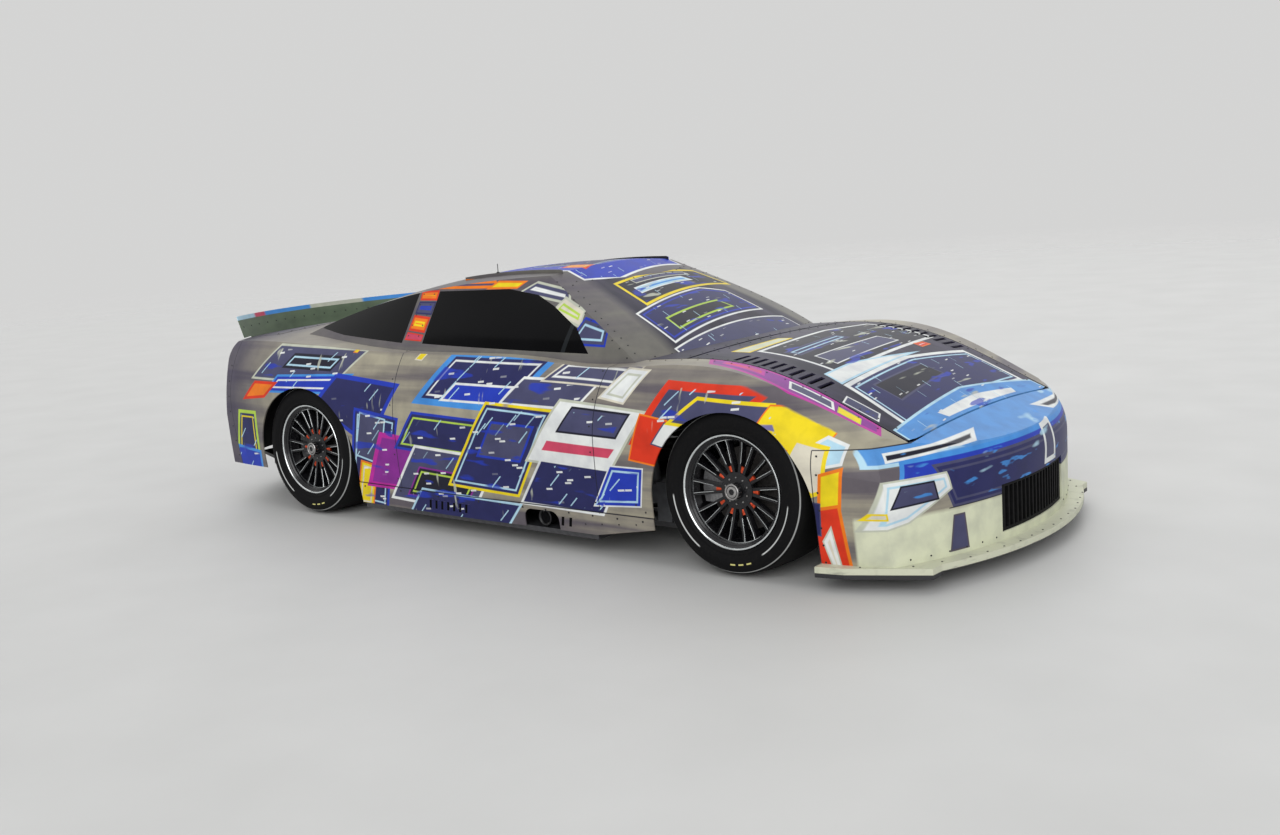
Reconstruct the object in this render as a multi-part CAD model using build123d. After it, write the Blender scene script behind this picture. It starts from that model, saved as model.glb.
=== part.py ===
from build123d import *
import math
import os

os.makedirs("parts", exist_ok=True)

# Frame: X points forward, Y left, Z up. The origin is on the floor, under the middle of the body.

# Overall sizes, in mm
body_length = 4912
wheelbase = 2794
front_overhang = 1010
roof_top_z = 1280
ground_clearance = 104
nose_x = body_length / 2
tail_x = -body_length / 2
front_axle_x = nose_x - front_overhang
rear_axle_x = front_axle_x - wheelbase

# Cuts and zones run past the body by these amounts
past_x = 3000
past_y = 1200
past_z = 1500

# Panels
skin = 8
lid_gap = 8
hinge_side_gap = 16
window_thickness = 5
door_front_x = 735
door_rear_x = -600
rocker_top_z = 215
rocker_ledge = 4
quarter_low_z = 230
fascia_rear_x = 1852
nose_seam_x = 2150
nose_seam_z = 572
hood_half_width = 700
hood_rear_x = 1085
cowl_front_x = 600
lid_half_width = 690
lid_front_x = -1900
lid_rear_setback = 112
shelf_front_x = -1500
tail_seam_x = -2020

# Rounded nose, lip and tail, seen in plan as large arcs
fascia_setback = 74
nose_arc_radius = 1700
lip_arc_radius = 1640
tail_arc_radius = 1430
nose_arc_x = nose_x - fascia_setback - nose_arc_radius
tail_arc_x = tail_x + tail_arc_radius

# Wheels and tyres
tyre_radius = 355
tyre_width = 366
rim_radius = 244
rim_width = 330
wheel_centre_y = 790
front_camber = 2.5
rear_camber = 1.5
arch_radius = 406
arch_centre_z = 298
arch_inner_y = 700

# Steering and front uprights
kingpin_y = 745
kingpin_radius = 15

# Lower body: x, half width at the sill, widest half width and its height, shoulder half width and height,
# height of the crown
body_sections = [
    (tail_x - 60, 850, 895, 470, 765, 880, 925),
    (-2150, 900, 950, 500, 830, 925, 955),
    (-1750, 940, 990, 540, 865, 938, 985),
    (rear_axle_x, 948, 994, 560, 875, 925, 978),
    (-500, 963, 986, 500, 875, 895, 935),
    (350, 963, 983, 500, 865, 878, 915),
    (1000, 960, 987, 530, 848, 870, 902),
    (front_axle_x, 953, 994, 560, 850, 850, 868),
    (1750, 938, 988, 520, 828, 748, 784),
    (2000, 905, 942, 470, 790, 632, 676),
    (nose_x + 40, 640, 680, 380, 560, 430, 500),
]

# Cabin: height, windshield centre x, its corner x and y, half width at the middle, rear corner x and y,
# rear glass centre x
cabin_sections = [
    (830, 1110, 880, 770, 872, -2230, 690, -2290),
    (1045, 700, 520, 665, 716, -1700, 570, -1765),
    (1200, 340, 200, 535, 604, -1220, 500, -1280),
    (1300, 100, -10, 452, 532, -880, 450, -930),
]


def at(shape, x=0, y=0, z=0):
    return shape.moved(Location((x, y, z)))


def block(x0, x1, y0, y1, z0, z1):
    return at(Box(x1 - x0, y1 - y0, z1 - z0), (x0 + x1) / 2, (y0 + y1) / 2, (z0 + z1) / 2)


def side_block(side, x0, x1, y0, y1, z0, z1):
    # The left side is 1 and the right side is -1, with y counted outwards
    low, high = sorted((side * y0, side * y1))
    return block(x0, x1, low, high, z0, z1)


def mirror_y(shape):
    return shape.mirror(Plane.XZ)


def both_sides(shape):
    return shape + mirror_y(shape)


def rod(a, b, radius):
    a, b = Vector(*a), Vector(*b)
    plane = Plane(origin=a, z_dir=b - a)
    return plane * Cylinder(radius, (b - a).length, align=(Align.CENTER, Align.CENTER, Align.MIN))


def cross_rod(x, y, z, radius, length):
    # A cylinder along Y about its middle point
    return at(Cylinder(radius, length, rotation=(90, 0, 0)), x, y, z)


def side_profile(points, half_depth, y=0):
    # A closed outline in x and z, extruded both ways along Y about y
    return at(extrude(Plane.XZ * make_face(Polyline(*points, close=True)), half_depth, both=True), y=y)


def tube_run(points, radius):
    # A bent tube with mitred knees
    path = Polyline(*points)
    start = Plane(origin=points[0], z_dir=Vector(*points[1]) - Vector(*points[0]))
    return sweep(start * Circle(radius), path=path, transition=Transition.RIGHT)


def joined(shapes):
    return shapes[0] + shapes[1:]


# Body shell: a loft through the cross-sections, rounded off by turned nose and tail envelopes

low_bulge = 6
high_bulge_y = 0.72
high_bulge_z = 0.62


def body_section(row, inset, floor_z):
    x, sill_y, wide_y, wide_z, shoulder_y, shoulder_z, crown_z = row
    sill_y -= inset
    wide_y -= inset
    shoulder_y -= inset
    shoulder_z -= inset
    crown_z -= inset
    low_mid = ((sill_y + wide_y) / 2 + low_bulge, (floor_z + wide_z) / 2)
    high_mid = (shoulder_y + (wide_y - shoulder_y) * high_bulge_y,
                wide_z + (shoulder_z - wide_z) * high_bulge_z)
    right = [
        Line((0, floor_z), (sill_y, floor_z)),
        ThreePointArc((sill_y, floor_z), low_mid, (wide_y, wide_z)),
        ThreePointArc((wide_y, wide_z), high_mid, (shoulder_y, shoulder_z)),
    ]
    crown = ThreePointArc((shoulder_y, shoulder_z), (0, crown_z), (-shoulder_y, shoulder_z))
    left = [edge.mirror(Plane.YZ) for edge in right]
    plane = Plane(origin=(x, 0, 0), x_dir=(0, 1, 0), z_dir=(1, 0, 0))
    return plane.from_local_coords(Face(Wire(right + [crown] + left)))


# Upright profiles of nose and tail: how far each point stands inside the arc, and its height
nose_profile = {"side_top": (0, 400), "round_mid": (28, 510), "round_top": (100, 590), "slope_end": (260, 790)}
tail_profile = {"side_top": (0, 520), "lean_top": (30, 815), "round_mid": (66, 905),
                "round_top": (150, 952), "slope_end": (560, 1040)}


def nose_envelope(inset):
    radius = nose_arc_radius - inset
    point = {name: (radius - back, z - inset / 2) for name, (back, z) in nose_profile.items()}
    profile = Polyline((0, -past_z), (radius, -past_z), point["side_top"])
    profile += ThreePointArc(point["side_top"], point["round_mid"], point["round_top"])
    profile += Polyline(point["round_top"], point["slope_end"], (point["slope_end"][0], past_z), (0, past_z),
                        (0, -past_z))
    return at(revolve(Plane.XZ * make_face(profile), Axis.Z), x=nose_arc_x)


def tail_envelope(inset):
    radius = tail_arc_radius - inset
    point = {name: (radius - back, z - inset / 2) for name, (back, z) in tail_profile.items()}
    profile = Polyline((0, -past_z), (radius, -past_z), point["side_top"], point["lean_top"])
    profile += ThreePointArc(point["lean_top"], point["round_mid"], point["round_top"])
    profile += Polyline(point["round_top"], point["slope_end"], (point["slope_end"][0], past_z), (0, past_z),
                        (0, -past_z))
    return at(revolve(Plane.XZ * make_face(profile), Axis.Z), x=tail_arc_x)


def lower_body(inset, floor_z):
    solid = loft([body_section(row, inset, floor_z) for row in body_sections])
    nose_waste = block(front_axle_x, past_x, -past_y, past_y, -past_z, past_z) - nose_envelope(inset)
    tail_waste = block(-past_x, rear_axle_x, -past_y, past_y, -past_z, past_z) - tail_envelope(inset)
    return solid - nose_waste - tail_waste


def cabin_section(row, inset):
    z, front_x, corner_x, corner_y, side_y, rear_corner_x, rear_corner_y, rear_x = row
    front_x -= inset * 2
    corner_x -= inset * 2
    rear_x += inset * 2
    rear_corner_x += inset * 2
    corner_y -= inset
    side_y -= inset
    rear_corner_y -= inset
    side_x = (corner_x + rear_corner_x) / 2
    edges = [
        ThreePointArc((corner_x, -corner_y), (front_x, 0), (corner_x, corner_y)),
        ThreePointArc((corner_x, corner_y), (side_x, side_y), (rear_corner_x, rear_corner_y)),
        ThreePointArc((rear_corner_x, rear_corner_y), (rear_x, 0), (rear_corner_x, -rear_corner_y)),
        ThreePointArc((rear_corner_x, -rear_corner_y), (side_x, -side_y), (corner_x, -corner_y)),
    ]
    return at(Face(Wire(edges)), z=z)


roof_cross_radius = 3600
roof_length_radius = 5200
roof_half_width = 1000
roof_peak_x = 0


def roof_drop(y):
    return y**2 / (2 * roof_cross_radius)


def roof_envelope(inset):
    top = roof_top_z - inset
    middle_y = roof_half_width / 2
    edge_point = (roof_half_width, -roof_drop(roof_half_width))
    half = Polyline((0, -roof_length_radius), (0, 0))
    half += ThreePointArc((0, 0), (middle_y, -roof_drop(middle_y)), edge_point)
    half += Polyline(edge_point, (roof_half_width, -roof_length_radius), (0, -roof_length_radius))
    face = Plane(origin=(roof_peak_x, 0, top), x_dir=(0, 1, 0), z_dir=(1, 0, 0)) * make_face(half)
    axis = Axis((roof_peak_x, 0, top - roof_length_radius), (0, 1, 0))
    return both_sides(revolve(face, axis, 360))


def cabin(inset):
    return loft([cabin_section(row, inset) for row in cabin_sections]) & roof_envelope(inset)


def wheel_arches(radius, inner_y):
    cuts = []
    for axle_x in (front_axle_x, rear_axle_x):
        for side in (1, -1):
            cuts.append(cross_rod(axle_x, side * (past_y + inner_y) / 2, arch_centre_z, radius,
                                  past_y - inner_y))
            cuts.append(side_block(side, axle_x - radius, axle_x + radius, inner_y, past_y, 0, arch_centre_z))
    return joined(cuts)


# Roof rails: two low strips along the roof
rail_strip_y = 430
rail_strip_height = 16
rail_strip_thickness = 5
rail_strip_x = (-560, 130)
rail_strip_reach = 150


def roof_strips(under):
    strips = []
    for side in (1, -1):
        strip = side_block(side, *rail_strip_x, rail_strip_y, rail_strip_y + rail_strip_thickness,
                           roof_top_z - rail_strip_reach, roof_top_z + rail_strip_reach)
        low = at(under, z=rail_strip_height)
        strips.append((strip & low) - under)
    return joined(strips)


# Side windows in side view, and the seams of front and rear glass in plan
door_window = [(-540, 935), (560, 902), (440, 1012), (250, 1106), (110, 1160), (-90, 1190), (-570, 1184)]
quarter_window = [(-700, 935), (-730, 1184), (-1010, 1140), (-1270, 1074), (-1480, 1006), (-1500, 990),
                  (-1250, 962)]
windshield_seam = [(185, 500), (511, 650), (784, 740), (1400, 800)]
windshield_top_x = 330
rear_glass_seam = [(-1240, 420), (-1850, 520), (-2400, 540)]
rear_glass_top_x = -1300


def glass_zone(seam, top_x):
    # The seam's points are given on the left and mirrored to the right
    mirrored = [(x, -y) for x, y in seam]
    edge = Polyline(*seam, *reversed(mirrored))
    top = ThreePointArc(mirrored[0], (top_x, 0), seam[0])
    return extrude(make_face(edge + top), past_z, both=True)


# Hood louvres: a row of cross slots on each side
louvre_count = 10
louvre_pitch = 46
louvre_slot = 20
louvre_first_x = 1300
louvre_y = (560, 676)


def hood_louvres():
    slots = []
    for i in range(louvre_count):
        x = louvre_first_x + i * louvre_pitch
        for side in (1, -1):
            slots.append(side_block(side, x, x + louvre_slot, *louvre_y, nose_seam_z, past_z))
    return slots


# Exhaust outlets in the rockers, with an arched top
outlet_x = (262, 478)
outlet_top_z = 192
outlet_corner = 46
pipe_radius = 32
pipe_z = 150
outlet_pipe_x = (outlet_x[0] + outlet_x[1]) / 2
pipe_end_y = 940


def exhaust_outlet(side):
    width = outlet_x[1] - outlet_x[0]
    face = RectangleRounded(width, 2 * outlet_top_z, outlet_corner)
    cut = extrude(Plane.XZ * face, past_y - arch_inner_y - skin, both=True)
    return at(cut, outlet_pipe_x, side * past_y)


# The rocker's lower edge rises towards the front wheel, as x and z
skirt_rise_profile = [(front_axle_x, 0), (700, 0), (700, ground_clearance), (1040, 163), (front_axle_x, 230)]


def skirt_rise():
    return side_profile(skirt_rise_profile, past_y)


# Wheel parts lie along Y about the wheel centre, with the street side at +Y
barrel_radius = 226
barrel_wall = 7
bead_depth = 5
rim_half_width = rim_width / 2
barrel_inner = barrel_radius - barrel_wall
barrel_relief = 18
hub_radius = 62
hub_step_y = 100
flange_radius = 78
flange_y = (106, 120)
stub_radius = 34
stub_end_y = 92
running_gap = 0.5
nut_radius = 36
nut_collar_y = 124
nut_face_y = rim_half_width - 8
nut_floor = 8
spoke_pairs = 10
spoke_spread = 8
spoke_width = 13
spoke_face_y = 132
spoke_bend = (190, 126)
spoke_root_y = (84, 118)
spoke_back_y = 98
spoke_root_bite = 8
spoke_tip_bite = 3
hub_back_y = 52
disc_y = 12
disc_radius = 178
disc_inner_radius = 105
disc_thickness = 36
disc_plate = 8
disc_back_y = disc_y + disc_thickness


def turned(points):
    # Points are radius and place along the axle
    return revolve(make_face(Polyline(*points, close=True)), Axis.Y)


# Tyre section, from the tread's middle to the bead: radius and half width
tread_edge = (tyre_radius - 6, 150)
tyre_outside = [tread_edge, (tyre_radius - 20, 174), (tyre_radius - 52, tyre_width / 2),
                (rim_radius, rim_half_width - bead_depth)]
tyre_inside = [(barrel_radius, rim_half_width - 2 * bead_depth), (300, tyre_width / 2 - 18),
              (tyre_radius - 22, 148)]
tread_half_width = 75


def tyre():
    street = [(tyre_radius, tread_half_width)] + tyre_outside + tyre_inside
    far_side = [(radius, -y) for radius, y in reversed(street)]
    return turned(street + far_side)


def wheel_centre_z(camber):
    angle = math.radians(camber)
    tread = [(tyre_radius, tread_half_width)] + tyre_outside
    return max(radius * math.cos(angle) + y * math.sin(angle) for radius, y in tread)


def rim():
    w = rim_half_width
    barrel = turned([(barrel_inner, -w), (rim_radius, -w), (rim_radius, bead_depth - w),
                     (barrel_radius, 2 * bead_depth - w), (barrel_radius, w - 2 * bead_depth),
                     (rim_radius, w - bead_depth), (rim_radius, w), (rim_radius - bead_depth, w),
                     (barrel_inner, w - barrel_relief)])
    bore = stub_radius + running_gap
    nut_floor_y = stub_end_y + nut_floor
    hub = turned([(bore, hub_back_y), (hub_radius, hub_back_y), (hub_radius, hub_step_y),
                  (flange_radius, flange_y[0]), (flange_radius, flange_y[1]), (nut_radius, nut_collar_y),
                  (nut_radius, nut_face_y), (0, nut_face_y), (0, nut_floor_y), (bore, nut_floor_y)])
    root = flange_radius - spoke_root_bite
    tip = barrel_inner + spoke_tip_bite
    spoke_side = Polyline((root, spoke_root_y[0]), (tip, spoke_back_y), (tip, spoke_face_y), spoke_bend,
                          (root, spoke_root_y[1]), close=True)
    spoke = extrude(make_face(spoke_side), spoke_width / 2, both=True)
    wheel = barrel + hub
    for i in range(spoke_pairs):
        for lean in (-1, 1):
            wheel += spoke.rotate(Axis.Y, 360 / spoke_pairs * i + lean * spoke_spread)
    return wheel


def brake_disc():
    ring = turned([(disc_inner_radius, disc_y), (disc_radius, disc_y), (disc_radius, disc_back_y),
                   (disc_inner_radius, disc_back_y)])
    bore = stub_radius + running_gap
    hat = turned([(bore, disc_back_y - disc_plate), (disc_inner_radius + 1, disc_back_y - disc_plate),
                  (disc_inner_radius + 1, disc_back_y), (hub_radius, hub_back_y), (bore, hub_back_y)])
    return ring + hat


half_shaft_radius = 15
half_shaft_length = 694
half_shaft_end_y = 100


def half_shaft():
    return cross_rod(0, half_shaft_end_y - half_shaft_length / 2, 0, half_shaft_radius, half_shaft_length)


def placed(shape, axle_x, side, camber):
    if side < 0:
        shape = mirror_y(shape)
    place = (axle_x, side * wheel_centre_y, wheel_centre_z(camber))
    return shape.moved(Location(place, (side * camber, 0, 0)))


# Suspension: ball joint cups over and under the upright, and brackets on the frame
bracket_face_y = 350
bracket_depth = 30
bracket_half_length = 24
bracket_margin = 18
eye_radius = 14
eye_length = 44
eye_gap = 0.3
arm_half_spread = 120
arm_radius = 11
ball_rise = 142
pickup_rise = 106
cup_radius = 20
cup_height = 30
shaft_bore_radius = 20
post_half = (34, 24, 104)
caliper_x = (-214, -108)
caliper_cheek = 22
caliper_half_height = 70
caliper_radius = 208
disc_air = 6
carrier_x = (-150, -20)
carrier_half_height = 32
carrier_inset = 15


def knuckle(axle_x, side, camber, bore_radius):
    # The upright in the wheel's frame, with the stub that carries the hub
    post_y = kingpin_y - wheel_centre_y
    half_x, half_y, half_z = post_half
    post = block(-half_x, half_x, post_y - half_y, post_y + half_y, -half_z, half_z)
    stub = cross_rod(0, (stub_end_y + post_y) / 2, 0, stub_radius, stub_end_y - post_y)
    caliper = block(*caliper_x, disc_y - caliper_cheek, disc_back_y + caliper_cheek,
                    -caliper_half_height, caliper_half_height)
    caliper &= cross_rod(0, 0, 0, caliper_radius, past_y)
    caliper -= cross_rod(0, disc_y + disc_thickness / 2, 0, disc_radius + disc_air,
                         disc_thickness + 2 * disc_air)
    carrier = block(*carrier_x, post_y - carrier_inset, disc_y - disc_plate, -carrier_half_height,
                    carrier_half_height)
    shape = post + stub + caliper + carrier
    pin = at(Cylinder(kingpin_radius, 2 * ball_rise - cup_height - 2 * eye_gap), axle_x, side * kingpin_y,
             wheel_centre_z(camber))
    if bore_radius:
        bore = cross_rod(0, 0, 0, bore_radius, past_y)
        shape -= bore
        pin -= placed(bore, axle_x, side, camber)
    return placed(shape, axle_x, side, camber) + pin


def wishbones(axle_x, side, camber):
    # Two tubular arms a corner, upper and lower
    centre_z = wheel_centre_z(camber)
    eye_y = side * (bracket_face_y + eye_radius + eye_gap)
    pieces = []
    for way in (-1, 1):
        ball = (axle_x, side * kingpin_y, centre_z + way * ball_rise)
        pieces.append(at(Cylinder(cup_radius, cup_height), *ball))
        for end in (-1, 1):
            inner = (axle_x + end * arm_half_spread, eye_y, centre_z + way * pickup_rise)
            pieces.append(rod(ball, inner, arm_radius))
            pieces.append(at(Cylinder(eye_radius, eye_length, rotation=(0, 90, 0)), *inner))
    return joined(pieces)


# Frame: rails under engine and tail, sills beside the cabin
rail_y = 300
rail_width = 60
rail_height = 90
front_rail_z = 200
rear_rail_z = 205
rail_inner_y = rail_y - rail_width / 2
rail_outer_y = rail_y + rail_width / 2
front_rail_x = (800, 2000)
rear_rail_x = (-2180, -850)
sill_x = (-930, 880)
sill_y = (560, 640)
sill_z = 190
cross_width = 80
tray_bottom_z = 80
tray_top_z = ground_clearance


def frame_rails():
    pieces = [
        block(front_rail_x[0], sill_x[1], -sill_y[1], sill_y[1], front_rail_z,
              front_rail_z + rail_height),
        block(sill_x[0], rear_rail_x[1], -sill_y[1], sill_y[1], sill_z, rear_rail_z + rail_height),
        block(front_rail_x[1] - cross_width, front_rail_x[1], -rail_outer_y, rail_outer_y, front_rail_z,
              front_rail_z + rail_height),
        block(rear_rail_x[0], rear_rail_x[0] + cross_width, -rail_outer_y, rail_outer_y, rear_rail_z,
              rear_rail_z + rail_height),
    ]
    for side in (1, -1):
        pieces.append(side_block(side, *front_rail_x, rail_inner_y, rail_outer_y, front_rail_z,
                                 front_rail_z + rail_height))
        pieces.append(side_block(side, *rear_rail_x, rail_inner_y, rail_outer_y, rear_rail_z,
                                 rear_rail_z + rail_height))
        pieces.append(side_block(side, *sill_x, *sill_y, sill_z, sill_z + rail_height))
        for x0 in (sill_x[0], sill_x[1] - cross_width):
            pieces.append(side_block(side, x0, x0 + cross_width, *sill_y, tray_top_z, sill_z))
    for axle_x, camber, rail_z in ((front_axle_x, front_camber, front_rail_z),
                                   (rear_axle_x, rear_camber, rear_rail_z)):
        centre_z = wheel_centre_z(camber)
        low_z = min(centre_z - pickup_rise - bracket_margin, rail_z)
        for side in (1, -1):
            for end in (-1, 1):
                x = axle_x + end * arm_half_spread
                pieces.append(side_block(side, x - bracket_half_length, x + bracket_half_length,
                                         bracket_face_y - bracket_depth, bracket_face_y, low_z,
                                         centre_z + pickup_rise + bracket_margin))
    return joined(pieces)


# Cage knees on the left, as x, y and z
tube_radius = 22
sill_top_z = sill_z + rail_height
front_top_z = front_rail_z + rail_height
rear_top_z = rear_rail_z + rail_height
hoop_top = (-560, 496, 1172)
screen_top = (110, 455, 1168)
screen_foot = (720, 640, 850)
firewall_knee = (930, 330, 690)
nose_knee = (1900, 300, 560)
brace_knee = (-1500, 400, 900)
lid_knee = (-1760, 400, 780)
hoop_waist = (-560, 560, 960)
hoop_foot = (-560, 600)
screen_leg_foot = (780, 600)
brace_foot_x = -1560
tail_leg_foot_x = -2130
nose_leg_foot_x = 1940
door_bar_heights = (330, 500)
door_bar_ends = ((-560, 585), (760, 610))
foot_depth = 15

# Cross tubes: x, height and half length
cross_tubes = [
    (hoop_top[0], hoop_top[2], hoop_top[1]),
    (screen_top[0], screen_top[2], screen_top[1]),
    (hoop_top[0], 620, 580),
    (700, 700, 620),
]

# Hinges of hood and deck lid: pivots set back from the panel's edge
hinge_setback = 100
hood_hinge_y = 600
hood_hinge_z = 835
lid_hinge_y = 560
lid_hinge_z = 915
hood_hinge_x = hood_rear_x + hinge_setback
lid_hinge_x = lid_front_x - hinge_setback
bar_drop = 50
bar_radius = 16
pin_radius = 6
pin_clearance = 0.3
ear_half_length = 14
ear_inset = (30, 16)
bar_inset = 20
pin_inset = 4
pin_length = 32
lug_half_width = 8
lug_half_length = 13


def hinge_bar(x, z, half):
    # A cross tube with an ear and a pin at each end
    end_y = half - bar_inset
    pieces = [rod((x, -end_y, z - bar_drop), (x, end_y, z - bar_drop), bar_radius)]
    for side in (1, -1):
        pieces.append(side_block(side, x - ear_half_length, x + ear_half_length, half - ear_inset[0],
                                 half - ear_inset[1], z - bar_drop, z + 2 * pin_radius))
        pieces.append(cross_rod(x, side * (half - pin_inset), z, pin_radius, pin_length))
    return joined(pieces)


def hinge_lugs(x, z, half, under):
    pieces = []
    for side in (1, -1):
        lug = side_block(side, x - lug_half_length, x + lug_half_length, half - lug_half_width,
                         half + lug_half_width, z - 2 * pin_radius, z + hinge_setback) & under
        pieces.append(lug - cross_rod(x, side * half, z, pin_radius + pin_clearance, 6 * lug_half_width))
    return joined(pieces)


hood_strut_y = 320
hood_strut_foot_z = 655


def roll_cage(rails):
    # The left half's tubes, mirrored, and the cross tubes, with their feet coped to the rails
    lid_knee_end = (lid_hinge_x, lid_knee[1], lid_knee[2])
    sill_foot_z = sill_top_z - foot_depth
    rear_foot_z = rear_top_z - foot_depth
    front_foot_z = front_top_z - foot_depth
    runs = [
        [(*hoop_foot, sill_foot_z), hoop_waist, hoop_top, screen_top, screen_foot,
         (*screen_leg_foot, sill_foot_z)],
        [hoop_top, brace_knee, (brace_foot_x, rail_y, rear_foot_z)],
        [brace_knee, lid_knee, lid_knee_end, (tail_leg_foot_x, rail_y, rear_foot_z)],
        [screen_foot, firewall_knee, nose_knee, (nose_leg_foot_x, rail_y, front_foot_z)],
    ]
    pieces = [tube_run(points, tube_radius) for points in runs]
    pieces.append(rod((hood_hinge_x, hood_strut_y, hood_strut_foot_z),
                      (hood_hinge_x, hood_strut_y, hood_hinge_z - bar_drop), bar_radius))
    pieces.append(rod(lid_knee_end, (lid_hinge_x, lid_knee[1], lid_hinge_z - bar_drop), bar_radius))
    for z in door_bar_heights:
        pieces.append(rod((*door_bar_ends[0], z), (*door_bar_ends[1], z), tube_radius))
    cage = both_sides(joined(pieces))
    cage += [rod((x, -half, z), (x, half, z), tube_radius) for x, z, half in cross_tubes]
    cage += [hinge_bar(hood_hinge_x, hood_hinge_z, hood_hinge_y),
             hinge_bar(lid_hinge_x, lid_hinge_z, lid_hinge_y)]
    return cage - rails


# Engine, tunnel tube and rear gearbox as plain blocks, with mounts to the rails
engine_x = 950
engine_length = 620
engine_section = [(170, front_rail_z), (230, 420), (262, 640), (120, 740)]
gearbox_x = (-1600, -1130)
gearbox_half_width = 190
gearbox_z = (250, 480)
gearbox_mount = (130, 70, 10)  # how far behind its nose the mount ends and starts, and its bite
engine_mount_x = (1200, 1260)
engine_mount_y = 150
engine_mount_z = 240
gearbox_mount_z = 255
mount_height = 35
prop_bite = (10, 20)
prop_radius = 35
prop_z = 330


def drivetrain():
    left = [(-y, z) for y, z in reversed(engine_section)]
    plane = Plane(origin=(engine_x, 0, 0), x_dir=(0, 1, 0), z_dir=(1, 0, 0))
    section = make_face(Polyline(*engine_section, *left, close=True))
    prop_ends = (engine_x + prop_bite[0], gearbox_x[1] - prop_bite[1])
    rear, front, bite = gearbox_mount
    pieces = [
        extrude(plane.from_local_coords(section), engine_length),
        rod((prop_ends[0], 0, prop_z), (prop_ends[1], 0, prop_z), prop_radius),
        block(*gearbox_x, -gearbox_half_width, gearbox_half_width, *gearbox_z),
    ]
    for side in (1, -1):
        pieces.append(side_block(side, *engine_mount_x, engine_mount_y, rail_inner_y, engine_mount_z,
                                 engine_mount_z + mount_height))
        pieces.append(side_block(side, gearbox_x[1] - rear, gearbox_x[1] - front, gearbox_half_width - bite,
                                 rail_inner_y, gearbox_mount_z, gearbox_mount_z + mount_height))
    return joined(pieces)


# Exhaust run on the left, as x, y and z
exhaust_run = [(1150, 130, front_rail_z), (1150, 130, pipe_z), (700, 430, pipe_z), (outlet_pipe_x, 760, pipe_z),
               (outlet_pipe_x, pipe_end_y, pipe_z)]


def exhaust():
    return joined([tube_run([(x, side * y, z) for x, y, z in exhaust_run], pipe_radius) for side in (1, -1)])


# Undertray with a rising diffuser and fins behind the rear axle, and round jack pads
tray_x = (-1760, 1852)
tray_half_width = 955
wheel_well_half_length = 434
wheel_well_y = 440
diffuser_end_x = -2300
diffuser_end_z = (206, 224)
diffuser_half_width = 600
fin_ys = (-520, -260, 0, 260, 520)
fin_half_thickness = 4
fin_top = (40, 10)
fin_foot_x = 140
fin_tip_z = (4, 125)
jack_pad_radius = 45
jack_pad_y = 600
jack_pad_height = 8


def undertray():
    plate = block(*tray_x, -tray_half_width, tray_half_width, tray_bottom_z, tray_top_z)
    for axle_x in (front_axle_x, rear_axle_x):
        for side in (1, -1):
            plate -= side_block(side, axle_x - wheel_well_half_length, axle_x + wheel_well_half_length,
                                wheel_well_y, past_y, 0, past_z)
    plate -= skirt_rise() - block(0, past_x, -sill_y[1], sill_y[1], 0, past_z)
    ramp = [(tray_x[0], tray_bottom_z), (tray_x[0], tray_top_z), (diffuser_end_x, diffuser_end_z[1]),
            (diffuser_end_x, diffuser_end_z[0])]
    fin = [(tray_x[0] - fin_top[0], tray_bottom_z + fin_top[1]),
           (diffuser_end_x, diffuser_end_z[0] + fin_tip_z[0]), (diffuser_end_x, fin_tip_z[1]),
           (tray_x[0] - fin_foot_x, tray_bottom_z)]
    pieces = [plate, side_profile(ramp, diffuser_half_width)]
    for y in fin_ys:
        pieces.append(side_profile(fin, fin_half_thickness, y))
    for side in (1, -1):
        pieces.append(at(Cylinder(jack_pad_radius, jack_pad_height), 0, side * jack_pad_y,
                         tray_bottom_z - jack_pad_height / 2))
    return joined(pieces)


# Lip under the nose, and the deeper skirts at its corners, in plan on the left
lip_bottom_z = 75
skirt_bottom_z = 60
lip_corner = [(2287, 741), (2283, 812), (2170, 866), (1970, 958), (tray_x[1], 982)]
skirt_inner_y = 744


def splitter():
    centre_x = nose_x - lip_arc_radius
    mirrored = [(x, -y) for x, y in lip_corner]
    tip = ThreePointArc(lip_corner[0], (nose_x, 0), mirrored[0])
    outline = make_face(Polyline(*mirrored, *reversed(lip_corner)) + tip)
    plate = at(extrude(outline, ground_clearance - lip_bottom_z), z=lip_bottom_z)
    skirt = at(extrude(outline, ground_clearance - skirt_bottom_z), z=skirt_bottom_z)
    skirt -= block(centre_x, past_x, -skirt_inner_y, skirt_inner_y, 0, past_z)
    return plate + skirt


# Grille: a panel of upright bars in the fascia's opening
grille_y = (-318, 318)
grille_z = (138, 338)
grille_recess = 8
grille_depth = 26
grille_frame = 14
grille_pitch = 34
grille_slot = 24


def grille_opening():
    return block(nose_seam_x, past_x, *grille_y, *grille_z)


def grille():
    outer = nose_arc_radius - grille_recess
    band = Cylinder(outer, past_z) - Cylinder(outer - grille_depth, past_z)
    panel = at(band, x=nose_arc_x) & grille_opening()
    count = int((grille_y[1] - grille_y[0] - 2 * grille_frame) / grille_pitch)
    for i in range(count):
        y = (i - (count - 1) / 2) * grille_pitch
        panel -= block(nose_seam_x, past_x, y - grille_slot / 2, y + grille_slot / 2,
                       grille_z[0] + grille_frame, grille_z[1] - grille_frame)
    return panel


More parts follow.
